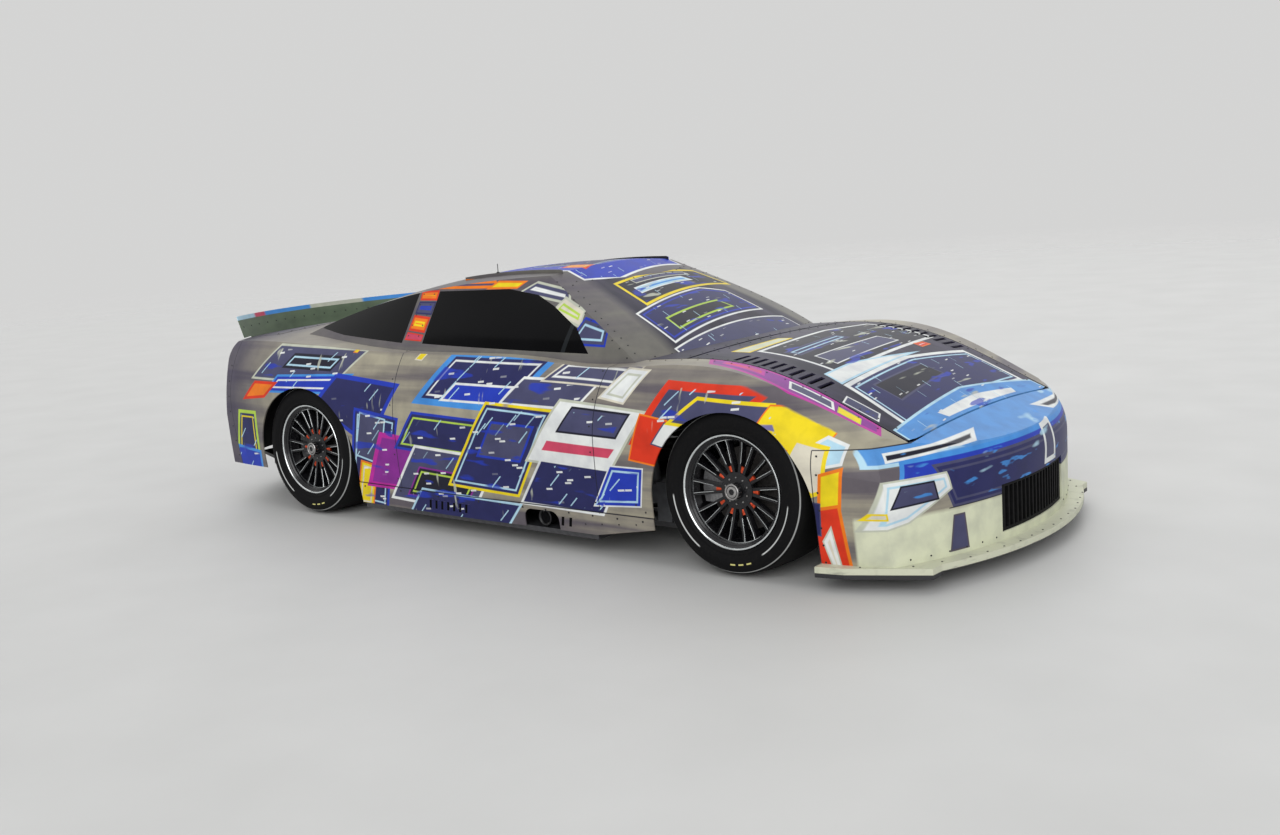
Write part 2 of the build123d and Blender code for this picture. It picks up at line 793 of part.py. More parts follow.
# Bucket seat on the left
seat_y = 330
seat_half_width = 215
seat_wall = 15
seat_foot_half = 10
seat_foot_bite = 5
seat_back_x = -480
seat_front_x = 120
seat_low_z = 160
seat_back_z = 900
seat_pad = [(seat_back_x, seat_low_z), (seat_front_x, seat_low_z), (140, 300), (100, 300), (60, 240),
            (-250, 230), (-420, seat_back_z), (seat_back_x, seat_back_z)]
seat_wing = [(seat_back_x, seat_low_z), (seat_front_x, seat_low_z), (seat_front_x, 380), (-200, 420),
             (-320, 860), (seat_back_x, 860)]


def seat():
    pieces = [side_profile(seat_pad, seat_half_width + seat_wall, seat_y)]
    for side in (1, -1):
        y = seat_y + side * seat_half_width
        pieces.append(side_profile(seat_wing, seat_wall, y))
        pieces.append(block(seat_back_x, seat_front_x, y - seat_foot_half, y + seat_foot_half, tray_top_z,
                            seat_low_z + seat_foot_bite))
    return joined(pieces)


# Steering wheel: its column runs forward and down through the dashboard
hand_wheel_place = (250, 330, 690)
hand_wheel_tilt = 20
hand_wheel_radius = 165
hand_wheel_tube = 14
hand_hub_radius = 45
hand_hub_height = 24
column_radius = 14
column_length = 300


def steering_place():
    return Location(hand_wheel_place, (0, -90 + hand_wheel_tilt, 0))


def steering_wheel():
    shape = Torus(hand_wheel_radius, hand_wheel_tube) + Cylinder(hand_hub_radius, hand_hub_height)
    shape += Box(2 * hand_wheel_radius - hand_wheel_tube, 2 * hand_wheel_tube, hand_hub_height / 2)
    shape += Cylinder(column_radius, column_length, align=(Align.CENTER, Align.CENTER, Align.MAX))
    return shape.moved(steering_place())


dash_profile = [(500, 520), (560, 500), (677.7, 640), (677.7, 800), (560, 850), (520, 840)]
dash_half_width = 560


def dashboard():
    bore = Cylinder(column_radius + running_gap, past_y).moved(steering_place())
    return side_profile(dash_profile, dash_half_width) - bore


fuel_cell_x = (-2110, -1640)
fuel_cell_half_width = 250
fuel_cell_top_z = 560


def fuel_cell():
    return block(*fuel_cell_x, -fuel_cell_half_width, fuel_cell_half_width, rear_top_z, fuel_cell_top_z)


# Filler cup let into the left quarter, open outwards
filler_x = -1760
filler_z = 800
filler_radius = 46
filler_bore_radius = 32
filler_depth = 70
filler_floor = 12
filler_face_y = 955
filler_hole_length = 276


def filler():
    length = filler_depth + filler_floor
    cup = cross_rod(filler_x, filler_face_y - length / 2, filler_z, filler_radius, length)
    return cup - cross_rod(filler_x, filler_face_y - filler_depth / 2, filler_z, filler_bore_radius,
                           filler_depth)


# Spoiler: a curved blade standing on the rear edge of the deck
spoiler_half_width = 770
spoiler_arc_x = -831
spoiler_foot_z = 880
spoiler_top_z = 1062
spoiler_foot_radius = 1462
spoiler_top_radius = 1530
spoiler_thickness = 8
spoiler_top_lean = 3
spoiler_side_gap = 7


def spoiler():
    profile = Polyline((spoiler_foot_radius, spoiler_foot_z),
                       (spoiler_foot_radius + spoiler_thickness, spoiler_foot_z),
                       (spoiler_top_radius + spoiler_thickness, spoiler_top_z),
                       (spoiler_top_radius, spoiler_top_z + spoiler_top_lean), close=True)
    ring = at(revolve(Plane.XZ * make_face(profile), Axis.Z), x=spoiler_arc_x)
    blade = ring & block(-past_x, lid_front_x, -spoiler_half_width, spoiler_half_width, 0, past_z)
    over_lid = block(-past_x, lid_front_x, -lid_half_width, lid_half_width, 0, past_z)
    return ((blade & over_lid) - outer_body) + ((blade - over_lid) - at(outer_body, z=spoiler_side_gap))


def lid_round(gap):
    radius = tail_arc_radius - lid_rear_setback + gap
    half = lid_half_width + gap
    front_x = lid_front_x + (hinge_side_gap if gap else 0)
    zone = block(-past_x, front_x, -half, half, quarter_low_z, past_z)
    return zone & at(Cylinder(radius, 2 * past_z), x=tail_arc_x)


def write(name, shape):
    solids = shape.solids()
    volume = sum(solid.volume for solid in solids)
    print(name, len(solids), "solids,", round(volume / 1e6, 2), "litres")
    export_step(shape, "parts/" + name + ".step")


# The inside of the shell starts this far below it, so that the shell is open underneath
open_floor = 40

outer_body = lower_body(0, ground_clearance)
inner_body = lower_body(skin, ground_clearance - open_floor)
outer_cabin = cabin(0)
inner_cabin = cabin(skin)
body_shell = outer_body - inner_body - inner_cabin - wheel_arches(arch_radius, arch_inner_y)
body_shell -= block(-past_x, rear_axle_x, -past_y, past_y, 0, quarter_low_z)

# Zones that split the shell where the real panels meet
fascia_zone = block(nose_seam_x, past_x, -past_y, past_y, 0, past_z)
fascia_zone += block(fascia_rear_x, nose_seam_x, -past_y, past_y, 0, nose_seam_z)
hood_zone = block(hood_rear_x, nose_seam_x - lid_gap, -hood_half_width, hood_half_width,
                  nose_seam_z + lid_gap, past_z)
cowl_zone = block(cowl_front_x, hood_rear_x - hinge_side_gap, -hood_half_width, hood_half_width,
                  nose_seam_z, past_z)
tail_zone = block(-past_x, tail_seam_x, -past_y, past_y, 0, past_z)
shelf_half_width = lid_half_width + lid_gap
shelf_zone = block(lid_front_x + hinge_side_gap, shelf_front_x, -shelf_half_width, shelf_half_width,
                   nose_seam_z, past_z)

write("front_fascia", (body_shell & fascia_zone) - grille_opening())
write("grille", grille())
write("splitter", splitter())
hood = body_shell & hood_zone
for slot in hood_louvres():
    hood -= slot
write("hood", hood + hinge_lugs(hood_hinge_x, hood_hinge_z, hood_hinge_y, inner_body))
write("cowl", body_shell & cowl_zone)
write("rear_fascia", (body_shell & tail_zone) - lid_round(lid_gap))
write("decklid", (body_shell & lid_round(0)) + hinge_lugs(lid_hinge_x, lid_hinge_z, lid_hinge_y, inner_body))
write("spoiler", spoiler())
write("rear_shelf", body_shell & shelf_zone)

for side, word in ((1, "left"), (-1, "right")):
    fender_zone = side_block(side, door_front_x, nose_seam_x, hood_half_width + lid_gap, past_y, 0, past_z)
    fender_zone -= fascia_zone
    fender_zone -= side_block(side, 0, front_axle_x, 0, past_y, 0, rocker_top_z)
    write("fender_" + word, body_shell & fender_zone)
    door_zone = side_block(side, door_rear_x, door_front_x, 0, past_y, rocker_top_z, past_z)
    write("door_" + word, body_shell & door_zone)
    quarter = body_shell & side_block(side, tail_seam_x, door_rear_x, shelf_half_width, past_y,
                                      rocker_top_z, past_z)
    if side > 0:
        quarter -= cross_rod(filler_x, filler_face_y, filler_z, filler_radius, filler_hole_length)
    write("quarter_" + word, quarter)
    rocker = body_shell & side_block(side, rear_axle_x, front_axle_x, 0, past_y, 0, rocker_top_z)
    rocker -= exhaust_outlet(side)
    rocker -= skirt_rise()
    write("rocker_" + word, at(rocker, y=side * rocker_ledge))

door_cut = side_profile(door_window, past_z)
quarter_cut = side_profile(quarter_window, past_z)
front_glass = glass_zone(windshield_seam, windshield_top_x)
rear_glass = glass_zone(rear_glass_seam, rear_glass_top_x)
right_half = block(-past_x, past_x, -past_y, 0, 0, past_z)
left_half = block(-past_x, past_x, 0, past_y, 0, past_z)
glass_band = outer_cabin - cabin(window_thickness) - outer_body
cabin_shell = outer_cabin - inner_cabin - outer_body
cabin_shell -= door_cut + quarter_cut
cabin_shell -= front_glass + rear_glass
write("cabin_shell", cabin_shell + roof_strips(outer_cabin))
write("windshield", glass_band & front_glass)
write("rear_window", glass_band & rear_glass)
write("side_windows", (glass_band & door_cut & right_half) + (glass_band & quarter_cut))
write("window_net", glass_band & door_cut & left_half)

write("undertray", undertray())
rails = frame_rails()
write("frame_rails", rails)
write("roll_cage", roll_cage(rails))
write("seat", seat())
write("steering_wheel", steering_wheel())
write("dashboard", dashboard())
write("fuel_cell", fuel_cell())
write("fuel_filler", filler())
write("drivetrain", drivetrain())
write("exhaust", exhaust())
write("front_suspension", wishbones(front_axle_x, 1, front_camber) + wishbones(front_axle_x, -1, front_camber))
write("rear_suspension", wishbones(rear_axle_x, 1, rear_camber) + wishbones(rear_axle_x, -1, rear_camber))
write("knuckle_left", knuckle(front_axle_x, 1, front_camber, 0))
write("knuckle_right", knuckle(front_axle_x, -1, front_camber, 0))
write("rear_uprights", knuckle(rear_axle_x, 1, rear_camber, shaft_bore_radius)
      + knuckle(rear_axle_x, -1, rear_camber, shaft_bore_radius))

# Wheel positions: name, axle, side, camber
wheels = [
    ("front_left", front_axle_x, 1, front_camber),
    ("front_right", front_axle_x, -1, front_camber),
    ("rear_left", rear_axle_x, 1, rear_camber),
    ("rear_right", rear_axle_x, -1, rear_camber),
]
for word, axle_x, side, camber in wheels:
    write("tyre_" + word, placed(tyre(), axle_x, side, camber))
    write("rim_" + word, placed(rim(), axle_x, side, camber))
    disc = brake_disc()
    if camber == rear_camber:
        disc += half_shaft()
    write("brake_disc_" + word, placed(disc, axle_x, side, camber))
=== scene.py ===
import bpy
import math
from mathutils import Matrix, Vector
from mathutils.bvhtree import BVHTree


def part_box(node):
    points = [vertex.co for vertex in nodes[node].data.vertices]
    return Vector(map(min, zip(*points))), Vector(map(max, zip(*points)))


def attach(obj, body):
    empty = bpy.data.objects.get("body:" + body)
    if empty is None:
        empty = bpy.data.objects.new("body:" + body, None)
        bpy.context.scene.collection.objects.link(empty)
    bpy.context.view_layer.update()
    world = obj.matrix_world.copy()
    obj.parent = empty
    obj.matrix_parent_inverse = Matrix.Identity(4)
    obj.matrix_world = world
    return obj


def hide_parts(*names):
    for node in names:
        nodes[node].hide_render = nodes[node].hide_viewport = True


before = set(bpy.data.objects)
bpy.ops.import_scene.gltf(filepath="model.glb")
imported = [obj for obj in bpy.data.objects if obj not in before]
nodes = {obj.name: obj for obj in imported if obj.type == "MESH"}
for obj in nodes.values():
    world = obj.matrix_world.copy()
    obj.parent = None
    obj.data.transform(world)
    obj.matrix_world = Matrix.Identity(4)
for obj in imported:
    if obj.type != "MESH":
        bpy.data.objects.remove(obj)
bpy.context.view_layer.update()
print("frame loaded")

colours = {
    "warmGrey": (0.350, 0.322, 0.240), "shadeGrey": (0.085, 0.072, 0.096), "paleGrey": (0.50, 0.52, 0.42),
    "slate": (0.060, 0.062, 0.130), "navy": (0.018, 0.020, 0.095), "ink": (0.008, 0.008, 0.020),
    "royal": (0.014, 0.040, 0.42), "sky": (0.055, 0.26, 0.66), "ice": (0.42, 0.64, 0.76),
    "white": (0.74, 0.76, 0.74), "cream": (0.66, 0.62, 0.50), "yellow": (0.80, 0.62, 0.01),
    "lime": (0.42, 0.60, 0.07), "orange": (0.80, 0.19, 0.01), "red": (0.66, 0.035, 0.01),
    "rose": (0.58, 0.06, 0.12), "purple": (0.23, 0.020, 0.26), "magenta": (0.46, 0.02, 0.30),
    # dusk is the colour of the painted shade towards the tail, and also part of the hood's ground
    "carbon": (0.022, 0.022, 0.025), "dusk": (0.050, 0.043, 0.080), "haze": (0.085, 0.275, 0.62),
    # The roof's grey is a darker copy of the warm grey: painted shade on the cabin shell
    "olive": (0.62, 0.64, 0.47), "roofShadeGrey": (0.150, 0.144, 0.126),
}


def tint(name):
    return (*colours[name], 1.0)


# A socket that takes part in sums and products
class Signal:
    def __init__(self, owner, socket):
        self.owner = owner
        self.socket = socket

    def join(self, operation, first, second):
        return self.owner.node("ShaderNodeMath", {"operation": operation}, {0: first, 1: second})

    def __add__(self, other):
        return self.join("ADD", self, other)

    def __radd__(self, other):
        return self.join("ADD", other, self)

    def __sub__(self, other):
        return self.join("SUBTRACT", self, other)

    def __rsub__(self, other):
        return self.join("SUBTRACT", other, self)

    def __mul__(self, other):
        return self.join("MULTIPLY", self, other)

    def __rmul__(self, other):
        return self.join("MULTIPLY", other, self)

    def __abs__(self):
        return self.join("ABSOLUTE", self, 0.0)

    def highest(self, other):
        return self.join("MAXIMUM", self, other)

    def lowest(self, other):
        return self.join("MINIMUM", self, other)


class NodeSheet:
    def __init__(self, tree):
        self.tree = tree

    def feed(self, socket, value):
        if isinstance(value, Signal):
            self.tree.links.new(value.socket, socket)
        else:
            socket.default_value = value

    def node(self, kind, settings, values, output=0):
        made = self.tree.nodes.new(kind)
        for key, value in settings.items():
            if key == "stops":
                elements = made.color_ramp.elements
                while len(elements) < len(value):
                    elements.new(0.5)
                for element, (position, colour) in zip(elements, value):
                    element.position = position
                    element.color = colour
            else:
                setattr(made, key, value)
        for key, value in values.items():
            self.feed(made.inputs[key], value)
        return Signal(self, made.outputs[output])


class Finish(NodeSheet):
    def __init__(self, name, metallic=0.0, coat=0.0, specular=0.5):
        self.material = bpy.data.materials.new(name)
        self.material.use_nodes = True
        super().__init__(self.material.node_tree)
        self.shader = self.tree.nodes["Principled BSDF"]
        self.shader.inputs["Metallic"].default_value = metallic
        self.shader.inputs["Coat Weight"].default_value = coat
        self.shader.inputs["Coat Roughness"].default_value = 0.08
        self.shader.inputs["Specular IOR Level"].default_value = specular
        self.place = self.node("ShaderNodeTexCoord", {}, {}, 3)

    def blend(self, factor, first, second):
        return self.node("ShaderNodeMix", {"data_type": "RGBA"}, {0: factor, 6: first, 7: second}, 2)

    def shade(self, cloud, colour, strength):
        settings = {"data_type": "RGBA", "blend_type": "MULTIPLY"}
        return self.node("ShaderNodeMix", settings, {0: strength, 6: colour, 7: cloud}, 2)

    def noise(self, scale, detail=3.0, stretch=(1, 1, 1), turn=(0, 0, 0)):
        spot = self.node("ShaderNodeMapping", {}, {0: self.place, 2: turn, 3: stretch})
        return self.node("ShaderNodeTexNoise", {}, {"Vector": spot, "Scale": scale, "Detail": detail})

    def dot(self, first, second):
        return self.node("ShaderNodeVectorMath", {"operation": "DOT_PRODUCT"}, {0: first, 1: second}, 1)

    def length(self, spot):
        return self.node("ShaderNodeVectorMath", {"operation": "LENGTH"}, {0: spot}, 1)

    def along(self, direction):
        return self.dot(self.place, direction)

    def plane(self, axes):
        # Two of the frame's axes and a one, so that a single product gives the distance from a line
        parts = [self.node("ShaderNodeSeparateXYZ", {}, {0: self.place}, axis) for axis in axes]
        return self.node("ShaderNodeCombineXYZ", {}, {0: parts[0], 1: parts[1], 2: 1.0})

    def facing(self, direction):
        return self.dot(self.node("ShaderNodeNewGeometry", {}, {}, 1), direction)

    def ramp(self, value, low, high):
        # 0 at low and 1 at high, and low may be the larger of the two
        span = high - low
        settings = {"operation": "MULTIPLY_ADD", "use_clamp": True}
        return self.node("ShaderNodeMath", settings, {0: value, 1: 1 / span, 2: -low / span})

    def below(self, value, level, soft=0.0012):
        return self.ramp(value, level + soft, level - soft)

    def bump(self, height, strength, distance=0.001):
        values = {"Strength": strength, "Distance": distance, "Height": height}
        self.feed(self.shader.inputs["Normal"], self.node("ShaderNodeBump", {}, values))

    def surface(self, colour, roughness):
        self.feed(self.shader.inputs["Base Color"], colour)
        self.feed(self.shader.inputs["Roughness"], roughness)
        return self.material


shardLook = {"depth": 0.25, "soft": 0.003, "gap": 0.014, "line": 0.006, "edge": 0.004, "inner": (0.09, 0.11),
             "darkFills": ("navy", "slate", "royal", "ink", "haze")}


def shardStops(fill, edge, line, width):
    # Colours from a shard's edge inwards: its border, a thin line inside it, and its fill
    depth, soft = shardLook["depth"], shardLook["soft"]
    start = width + shardLook["gap"]
    steps = [(0.0, edge), (width, edge), (width + soft, fill), (start, fill), (start + soft, line),
             (start + soft + shardLook["line"], line), (start + 2 * soft + shardLook["line"], fill)]
    return [(place / depth, tint(name)) for place, name in steps]


def shardDepth(finish, spot, corners):
    # How far in from a convex outline a place lies, as a share of the deepest stop
    middle = [sum(corner[i] for corner in corners) / len(corners) for i in (0, 1)]
    depth = None
    for first, second in zip(corners, corners[1:] + corners[:1]):
        stepU, stepV = second[0] - first[0], second[1] - first[1]
        scale = 1 / (math.hypot(stepU, stepV) * shardLook["depth"])
        line = [stepV * scale, -stepU * scale, (stepU * first[1] - stepV * first[0]) * scale]
        if line[0] * middle[0] + line[1] * middle[1] + line[2] < 0:
            line = [-value for value in line]
        edge = finish.dot(spot, line)
        depth = edge if depth is None else depth.lowest(edge)
    return depth


def paintShards(finish, colour, axes, shards, where=None):
    # Each row is a fill, an edge colour, a line colour, the border's width and the corners.
    # At least one fill of each set is dark
    spot = finish.plane(axes)
    painted = colour
    inside = None
    for fill, edge, line, width, *corners in shards:
        depth = shardDepth(finish, spot, corners)
        banded = finish.node("ShaderNodeValToRGB", {"stops": shardStops(fill, edge, line, width)}, {0: depth})
        painted = finish.blend(finish.ramp(depth, -shardLook["edge"], shardLook["edge"]), painted, banded)
        if fill in shardLook["darkFills"]:
            inside = depth if inside is None else inside.highest(depth)
    inside = finish.ramp(inside, *shardLook["inner"])
    if where is not None:
        painted = finish.blend(where, colour, painted)
        inside = inside * where
    return painted, inside


glintLook = {"detail": 2.0, "soft": 0.05, "strength": 0.8}


def paintGlints(finish, colour, inside, glints):
    # Thin slanted lights over the dark shards: colour, scale, stretch, turn, and the level that they start at
    for name, scale, stretch, turn, level in glints:
        streak = finish.noise(scale, glintLook["detail"], stretch, turn)
        shown = finish.ramp(streak, level, level + glintLook["soft"])
        colour = finish.blend(shown * inside * glintLook["strength"], colour, tint(name))
    return colour


dashLook = {"scale": 10.0, "offset": 0.37, "mortar": 0.02, "soft": 0.01, "strength": 0.9}


def paintDashes(finish, colour, inside, dashes):
    # Rows of dashes over the dark shards, in decimetres: colour, turn, length, height, share left out
    for name, turn, length, height, share in dashes:
        spot = finish.node("ShaderNodeMapping", {}, {0: finish.place, 2: turn})
        values = {"Vector": spot, "Color1": (0, 0, 0, 1), "Color2": (1, 1, 1, 1), "Mortar": (0, 0, 0, 1),
                  "Scale": dashLook["scale"], "Mortar Size": dashLook["mortar"],
                  "Brick Width": length, "Row Height": height}
        rows = finish.node("ShaderNodeTexBrick", {"offset": dashLook["offset"]}, values)
        shown = finish.ramp(rows, share, share + dashLook["soft"])
        colour = finish.blend(shown * inside * dashLook["strength"], colour, tint(name))
    return colour


# The last two set how strongly a painted shade darkens the ground towards the tail, and from where to where
groundLook = {"scale": 2.6, "detail": 5.0, "depth": 0.9, "dusk": 0.86, "tailShadeSpan": (-1.50, -1.98)}


def wrapGround(finish, light="warmGrey", dark="shadeGrey", stretch=(0.16, 0.16, 3.6), low=0.58, high=0.38):
    streaks = finish.noise(groundLook["scale"], groundLook["detail"], stretch)
    return finish.blend(finish.ramp(streaks, low, high) * groundLook["depth"], tint(light), tint(dark))


def paintedTailShade(finish):
    # Painted shade: the ground darkens towards the tail
    return finish.ramp(finish.along((1, 0, 0)), *groundLook["tailShadeSpan"]) * groundLook["dusk"]


# A panel's face counts as an inner one where it looks outwards by less than its level
innerLevels = {"side": -0.12, "hood": -0.2, "nose": -0.1, "roof": -0.15, "screen": -0.1, "tail": -0.25,
               "soft": 0.03}


def innerFaces(finish, outwards, panel):
    return finish.below(outwards, innerLevels[panel], innerLevels["soft"])


wrapLook = {"mottle": 11.0, "mottleStops": [(0.3, (0.74, 0.74, 0.78, 1)), (0.62, (1, 1, 1, 1))],
            "mottleDepth": 0.85, "roughness": 0.44, "spread": 0.10, "innerRoughness": 0.25,
            "peel": 420.0, "peelStrength": 0.05, "seam": 0.92, "seamDepth": 30.0}
wrapGloss = {"upright": 0.22, "level": 0.12}


def finishWrap(finish, colour, inward=None, seams=None):
    # A mottled film with a fine peel, dark seams between panels, and bare inner faces
    mottle = finish.noise(wrapLook["mottle"], 6.0)
    cloud = finish.node("ShaderNodeValToRGB", {"stops": wrapLook["mottleStops"]}, {0: mottle})
    colour = finish.shade(cloud, colour, wrapLook["mottleDepth"])
    height = finish.noise(wrapLook["peel"], 2.0)
    if seams is not None:
        colour = finish.blend(seams * wrapLook["seam"], colour, tint("ink"))
        height = height - seams * wrapLook["seamDepth"]
    roughness = wrapLook["spread"] * mottle + (wrapLook["roughness"] - wrapLook["spread"] / 2)
    if inward is not None:
        colour = finish.blend(inward, colour, tint("carbon"))
        roughness = roughness + inward * wrapLook["innerRoughness"]
    finish.bump(height, wrapLook["peelStrength"])
    return finish.surface(colour, roughness)


seamLook = {"half": 0.0022, "soft": 0.0006, "end": 0.001}
unitAxes = ((1, 0, 0), (0, 1, 0), (0, 0, 1))


def seamLines(finish, lines):
    # Each line is an axis, its place, and the range of another axis that it runs along
    end = seamLook["end"]
    total = None
    for axis, place, otherAxis, low, high in lines:
        near = finish.below(abs(finish.along(unitAxes[axis]) - place), seamLook["half"], seamLook["soft"])
        along = finish.along(unitAxes[otherAxis])
        mask = near * finish.ramp(along, low - end, low + end) * finish.ramp(along, high + end, high - end)
        total = mask if total is None else total.highest(mask)
    return total


# Side graphics: fill, edge, line, border width, corners in x and z
sideShards = [
    ("slate", "paleGrey", "slate", 0.010, (-1.80, 0.74), (-1.60, 0.93), (-0.86, 0.91), (-1.06, 0.73)),
    ("ink", "slate", "ice", 0.005, (-1.54, 0.80), (-1.45, 0.89), (-1.02, 0.88), (-1.11, 0.79)),
    ("orange", "red", "orange", 0.004, (-1.27, 0.932), (-1.25, 0.948), (-1.08, 0.938), (-1.10, 0.922)),
    ("yellow", "orange", "yellow", 0.002, (-0.985, 0.892), (-0.955, 0.928), (-0.920, 0.926), (-0.950, 0.890)),
    ("yellow", "cream", "yellow", 0.004, (-0.500, 0.866), (-0.465, 0.908), (-0.410, 0.904), (-0.445, 0.862)),
    ("royal", "sky", "white", 0.010, (-1.66, 0.67), (-1.55, 0.77), (-0.92, 0.79), (-1.08, 0.68)),
    ("navy", "royal", "navy", 0.022, (-1.24, 0.62), (-1.06, 0.79), (-0.56, 0.75), (-0.80, 0.40)),
    ("navy", "royal", "ice", 0.014, (-1.04, 0.10), (-0.90, 0.62), (-0.56, 0.58), (-0.74, 0.08)),
    ("slate", "ice", "slate", 0.008, (-0.94, 0.36), (-0.86, 0.60), (-0.66, 0.57), (-0.74, 0.32)),
    ("orange", "red", "orange", 0.014, (-1.88, 0.62), (-1.76, 0.73), (-1.54, 0.73), (-1.66, 0.64)),
    ("navy", "lime", "yellow", 0.018, (-2.06, 0.24), (-1.94, 0.56), (-1.76, 0.56), (-1.80, 0.24)),
    ("royal", "sky", "royal", 0.016, (-2.12, 0.18), (-2.02, 0.35), (-1.78, 0.33), (-1.80, 0.18)),
    ("yellow", "orange", "cream", 0.010, (-1.00, 0.08), (-0.90, 0.34), (-0.76, 0.32), (-0.86, 0.08)),
    ("purple", "magenta", "purple", 0.026, (-0.88, 0.20), (-0.72, 0.50), (-0.40, 0.48), (-0.54, 0.20)),
    ("navy", "royal", "lime", 0.012, (-0.62, 0.42), (-0.46, 0.62), (0.08, 0.60), (-0.10, 0.40)),
    ("slate", "white", "slate", 0.013, (-0.70, 0.15), (-0.46, 0.45), (0.14, 0.42), (-0.08, 0.13)),
    ("ink", "purple", "lime", 0.007, (-0.56, 0.18), (-0.44, 0.34), (0.00, 0.32), (-0.12, 0.17)),
    ("navy", "ice", "navy", 0.010, (-0.60, 0.05), (-0.44, 0.23), (0.26, 0.21), (0.12, 0.05)),
    ("navy", "sky", "white", 0.030, (-0.46, 0.66), (-0.22, 0.92), (0.46, 0.91), (0.22, 0.64)),
    ("royal", "white", "royal", 0.009, (-0.26, 0.68), (-0.16, 0.77), (0.24, 0.765), (0.15, 0.675)),
    ("slate", "white", "slate", 0.010, (0.14, 0.68), (0.28, 0.81), (0.74, 0.80), (0.62, 0.67)),
    ("navy", "yellow", "ice", 0.012, (-0.24, 0.26), (0.06, 0.69), (0.50, 0.67), (0.24, 0.24)),
    ("slate", "royal", "slate", 0.010, (-0.02, 0.42), (0.10, 0.60), (0.38, 0.59), (0.27, 0.41)),
    ("slate", "cream", "white", 0.006, (0.38, 0.79), (0.50, 0.885), (0.96, 0.87), (0.86, 0.77)),
    ("white", "cream", "paleGrey", 0.007, (0.74, 0.73), (0.86, 0.86), (1.00, 0.855), (0.90, 0.71)),
    ("white", "paleGrey", "white", 0.010, (0.30, 0.42), (0.52, 0.72), (1.04, 0.69), (0.82, 0.40)),
    ("slate", "ink", "slate", 0.008, (0.51, 0.57), (0.60, 0.69), (0.95, 0.675), (0.87, 0.56)),
    ("rose", "white", "rose", 0.005, (0.40, 0.475), (0.45, 0.535), (0.87, 0.52), (0.82, 0.465)),
    ("navy", "white", "navy", 0.011, (0.24, 0.21), (0.40, 0.44), (0.90, 0.42), (0.76, 0.20)),
    ("royal", "white", "ice", 0.005, (0.70, 0.24), (0.82, 0.44), (1.01, 0.44), (0.98, 0.26)),
    ("slate", "red", "slate", 0.034, (0.94, 0.54), (1.12, 0.82), (1.66, 0.80), (1.46, 0.62)),
    ("red", "orange", "red", 0.006, (0.93, 0.47), (1.00, 0.68), (1.16, 0.66), (1.10, 0.45)),
    ("white", "slate", "white", 0.005, (1.06, 0.55), (1.14, 0.65), (1.27, 0.64), (1.20, 0.52)),
    ("slate", "yellow", "slate", 0.013, (1.14, 0.64), (1.30, 0.762), (1.66, 0.742), (1.74, 0.60)),
    ("yellow", "orange", "yellow", 0.005, (1.60, 0.66), (1.64, 0.738), (1.88, 0.728), (1.935, 0.65),
     (1.90, 0.565),
     (1.72, 0.565)),
    ("ice", "white", "ice", 0.010, (1.86, 0.60), (1.90, 0.625), (1.985, 0.590), (1.975, 0.515),
     (1.90, 0.500)),
    ("cream", "yellow", "cream", 0.016, (1.72, 0.50), (1.78, 0.62), (1.92, 0.585), (1.90, 0.40),
     (1.84, 0.38)),
    ("yellow", "orange", "yellow", 0.012, (1.86, 0.30), (1.88, 0.48), (1.980, 0.51), (1.960, 0.31)),
    ("red", "orange", "red", 0.012, (1.82, 0.05), (1.81, 0.33), (1.960, 0.36), (1.990, 0.05)),
    ("navy", "slate", "navy", 0.004, (1.80, 0.23), (1.79, 0.37), (1.88, 0.36), (1.87, 0.22)),
    ("white", "paleGrey", "cream", 0.005, (1.910, 0.05), (1.870, 0.20), (1.915, 0.27), (1.950, 0.05)),
]
sideGlints = [
    ("paleGrey", 5.0, (4.0, 1, 0.8), (0, -0.65, 0), 0.68),
    ("royal", 4.0, (0.9, 1, 4.2), (0, 0.12, 0), 0.60),
]
sideDashes = [("white", (1.5708, 0, 0.10), 0.42, 0.13, 0.955), ("ice", (1.5708, 0, 0.75), 0.9, 0.10, 0.965)]
# Seams between panels: axis, place, the axis that it runs along, from, to
panelSeams = [(0, 0.735, 2, 0.21, 0.87), (0, -0.600, 2, 0.21, 0.93), (2, 0.215, 0, -0.95, 1.05),
              (0, 1.852, 2, 0.06, 0.572), (2, 0.572, 0, 1.852, 2.15), (0, -2.020, 2, 0.20, 0.95)]


# Graphics on the tops of the fenders, in x and y
topShards = [
    ("purple", "magenta", "purple", 0.016, (1.20, -0.705), (1.26, -0.800), (1.68, -0.845), (2.06, -0.775),
     (2.02, -0.700)),
    ("magenta", "purple", "rose", 0.004, (1.30, -0.77), (1.28, -0.715), (1.50, -0.72), (1.54, -0.79)),
    ("slate", "white", "slate", 0.009, (1.66, -0.805), (1.62, -0.735), (1.82, -0.725), (1.86, -0.785)),
    ("yellow", "lime", "yellow", 0.003, (1.87, -0.785), (1.85, -0.738), (1.95, -0.732), (1.97, -0.775)),
]


# How far up a face looks where the side's graphics give way to those of the fender tops
sideLook = {"outward": (0.745, 0.720)}


def sidePaint(name):
    finish = Finish(name, specular=wrapGloss["upright"])
    outward = finish.ramp(finish.facing((0, 0, 1)), *sideLook["outward"])
    # Painted shade: the ground darkens towards the tail
    ground = finish.blend(paintedTailShade(finish), wrapGround(finish), tint("dusk"))
    ground = paintShards(finish, ground, (0, 1), topShards, 1 - outward)[0]
    colour, inside = paintShards(finish, ground, (0, 2), sideShards, outward)
    colour = paintDashes(finish, paintGlints(finish, colour, inside, sideGlints), inside, sideDashes)
    outwards = finish.facing((0, 1, 0)) * finish.along((0, 1, 0))
    return finishWrap(finish, colour, innerFaces(finish, outwards, "side"), seamLines(finish, panelSeams))


